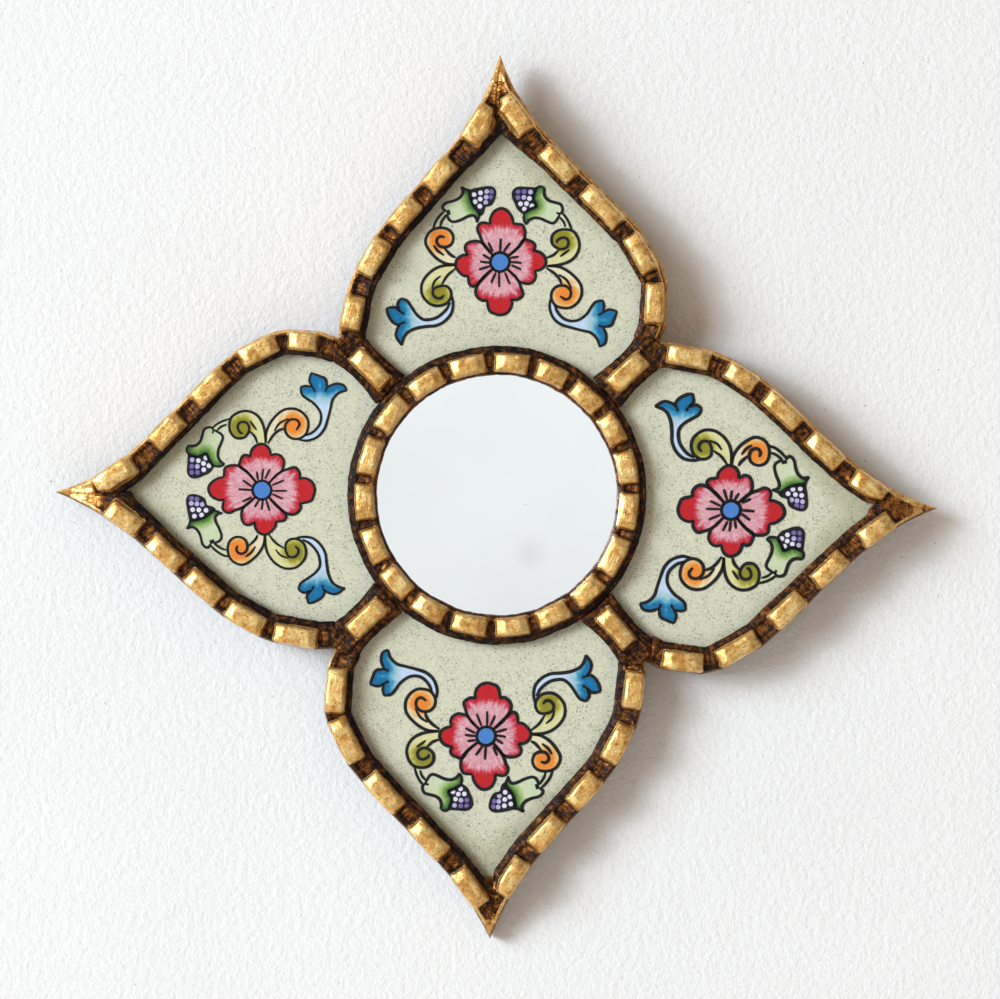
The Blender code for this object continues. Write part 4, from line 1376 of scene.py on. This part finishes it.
def steel_finish():
    graph = new_finish("dull hanger steel")
    place = graph.coords()
    tone = graph.ramp(graph.grain(place, 700, 5, 0.6), (0.35, STEEL_DULL), (0.65, STEEL))
    spots = graph.ramp(graph.grain(place, 420, 3), (0.6, 0.0), (0.72, 0.8))
    rough = graph.ramp(graph.grain(place, 900), (0.3, 0.32), (0.7, 0.55))
    shader = graph.shader(
        "Principled",
        Base_Color=graph.mix(spots, tone, RUST),
        Metallic=graph.minus(1.0, spots),
        Roughness=rough,
        Normal=graph.bump(rough, 0.2, 0.05 * MM),
    )
    return graph.surface(shader)


steel = steel_finish()
for name in ("hanger_strap", "hanger_ring", "hanger_nail_upper", "hanger_nail_lower"):
    set_finish(name, steel)
print("steel:", steel.name)

# %% [markdown]
# ## Wall
# The mirror hangs on white plaster. It hangs from a nail, so its top stands a little away from the
# wall, and here the wall leans back instead. The wall is only a stage, so it must not get in the
# way when the camera walks behind it: from its back it is clear, and it casts no shadow itself. A
# pale floor lies well below.

# %% Hang it on a wall
WALL_GAP = 0.4 * MM  # at the bottom tip
LEAN = 0.03  # how far the wall goes back for every step up
WALL_HALF = 2.5
FLOOR_DROP = 1.1
PLASTER = (0.89, 0.89, 0.89)
PLASTER_DULL = 0.97  # share of that in the duller clouds
PIT = (0.16, 0.15, 0.14)
PIT_SHADE = 0.8  # how dark the small pits in the plaster are


def plaster_finish(name, see_through_back):
    graph = new_finish(name)
    place = graph.coords()
    dull = tuple(PLASTER_DULL * part for part in PLASTER)
    tone = graph.ramp(graph.grain(place, 14), (0.3, dull), (0.7, PLASTER))
    pits = graph.cells(place, 190)
    shade = graph.times(graph.ramp(pits["Distance"], (0.02, 1.0), (0.07, 0.0)), PIT_SHADE)
    tone = graph.mix(graph.times(shade, pits["Color"]), tone, PIT)
    normal = graph.bump(graph.grain(place, 560, 5, 0.65), 0.6, 0.9 * MM)
    shader = graph.shader("Diffuse", Color=tone, Normal=normal)
    if see_through_back:
        behind = graph.add("NewGeometry").outputs["Backfacing"]
        shader = graph.blend(behind, shader, graph.shader("Transparent"))
    return graph.surface(shader)


def stage_plane(name, corners, finish):
    mesh = bpy.data.meshes.new(name)
    mesh.from_pydata(corners, [], [range(4)])
    mesh.materials.append(finish)
    plane = in_scene(name, mesh)
    plane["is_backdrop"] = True
    return plane


half, low = WALL_HALF, -FLOOR_DROP
near, far = (WALL_GAP + LEAN * (height - cad_low.z) for height in (low, half))
wall = stage_plane(
    "plaster_backdrop",
    [(-half, near, low), (half, near, low), (half, far, half), (-half, far, half)],
    plaster_finish("white plaster", True),
)
wall.visible_shadow = False
wall.visible_diffuse = False
stage_plane(
    "pale_floor",
    [(-half, -half, low), (half, -half, low), (half, half, low), (-half, half, low)],
    plaster_finish("pale floor", False),
)
print("wall normal", tuple(round(part, 2) for part in wall.data.polygons[0].normal))

# %% [markdown]
# ## Light
# Light comes from a window at the upper left, so the shadow falls to the right. Two lamps share
# its place: a large one for the soft shadow and a small one for the glints. A pale world lights
# the rest, at a level at which colours look as they are written. The lamps are cool and the world
# is warm, as daylight and a room are. For gloss the room grows dim away from the window, so the
# gold gets its contrast, and a white card straight ahead is what the looking glass shows.

# %% Light it
WORLD_LIGHT = 0.41
WORLD_SEEN = 0.92
WORLD_DIM = 0.3  # what gloss sees on the side away from the window
DIM_EDGE = (0.2, 1)  # cosines of the angles from the window between which the room grows dim
CARD_EDGE = (0.988, 0.994)  # cosines of the angles at which the white card before the mirror ends
CARD_AIM = (0, -1, 0)
FILL_COLOUR = (1.0, 0.79, 0.58)  # the room gives its own warmth to the shadows
PLAIN_COLOUR = (0.985, 0.995, 1.0)  # what is seen of it
KEY_COLOUR = (0.8, 0.905, 1.0)
KEY_PLACE = Vector((-3.9, -3.6, 1.2))
LAMPS = (("window", 2.9, 296), ("bright_pane", 0.6, 48))  # name, size and power


def pale_world():
    graph = Graph(bpy.data.worlds.new("pale room"))
    path = graph.add("LightPath").outputs
    way = graph.coords("Generated")

    def facing(aim, edge, dim):
        """Brightness that rises from dim to full as a ray turns towards an aim."""
        return graph.slope(graph.vectors("DOT_PRODUCT", way, aim), *edge, dim, WORLD_SEEN)

    room = facing(KEY_PLACE.normalized(), DIM_EDGE, WORLD_DIM)
    mirrored = graph.maths("MAXIMUM", room, facing(CARD_AIM, CARD_EDGE, 0))
    shiny = graph.maths("MAXIMUM", path["Is Glossy Ray"], path["Is Transmission Ray"])
    strength = graph.choose(shiny, WORLD_LIGHT, mirrored)
    strength = graph.choose(path["Is Camera Ray"], strength, WORLD_SEEN)
    plain = graph.maths("MAXIMUM", path["Is Camera Ray"], shiny)
    tint = graph.mix(plain, FILL_COLOUR, PLAIN_COLOUR)
    light = graph.add("Background", Color=tint, Strength=strength)
    graph.add("OutputWorld", Surface=light.outputs[0])
    scene.world = graph.owner


def key_lamp(name, size, power):
    data = bpy.data.lights.new(name, "AREA")
    data.size = size
    data.energy = power
    data.color = KEY_COLOUR
    lamp = in_scene(name, data)
    lamp.location = KEY_PLACE
    lamp.rotation_euler = (-KEY_PLACE).to_track_quat("-Z", "Y").to_euler()


pale_world()
for lamp in LAMPS:
    key_lamp(*lamp)
print("lamps", round(KEY_PLACE.length, 2), "m away")

# %% [markdown]
# ## Sizes
# The box of the dressed mirror is printed here, to set beside the CAD box printed at the start.
# Nothing in this lesson may grow past the CAD model, so both boxes are written down side by side.

# %% Write the sizes and finish
low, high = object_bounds()
print("visual box in mm:", [round(side / MM, 2) for side in high - low])
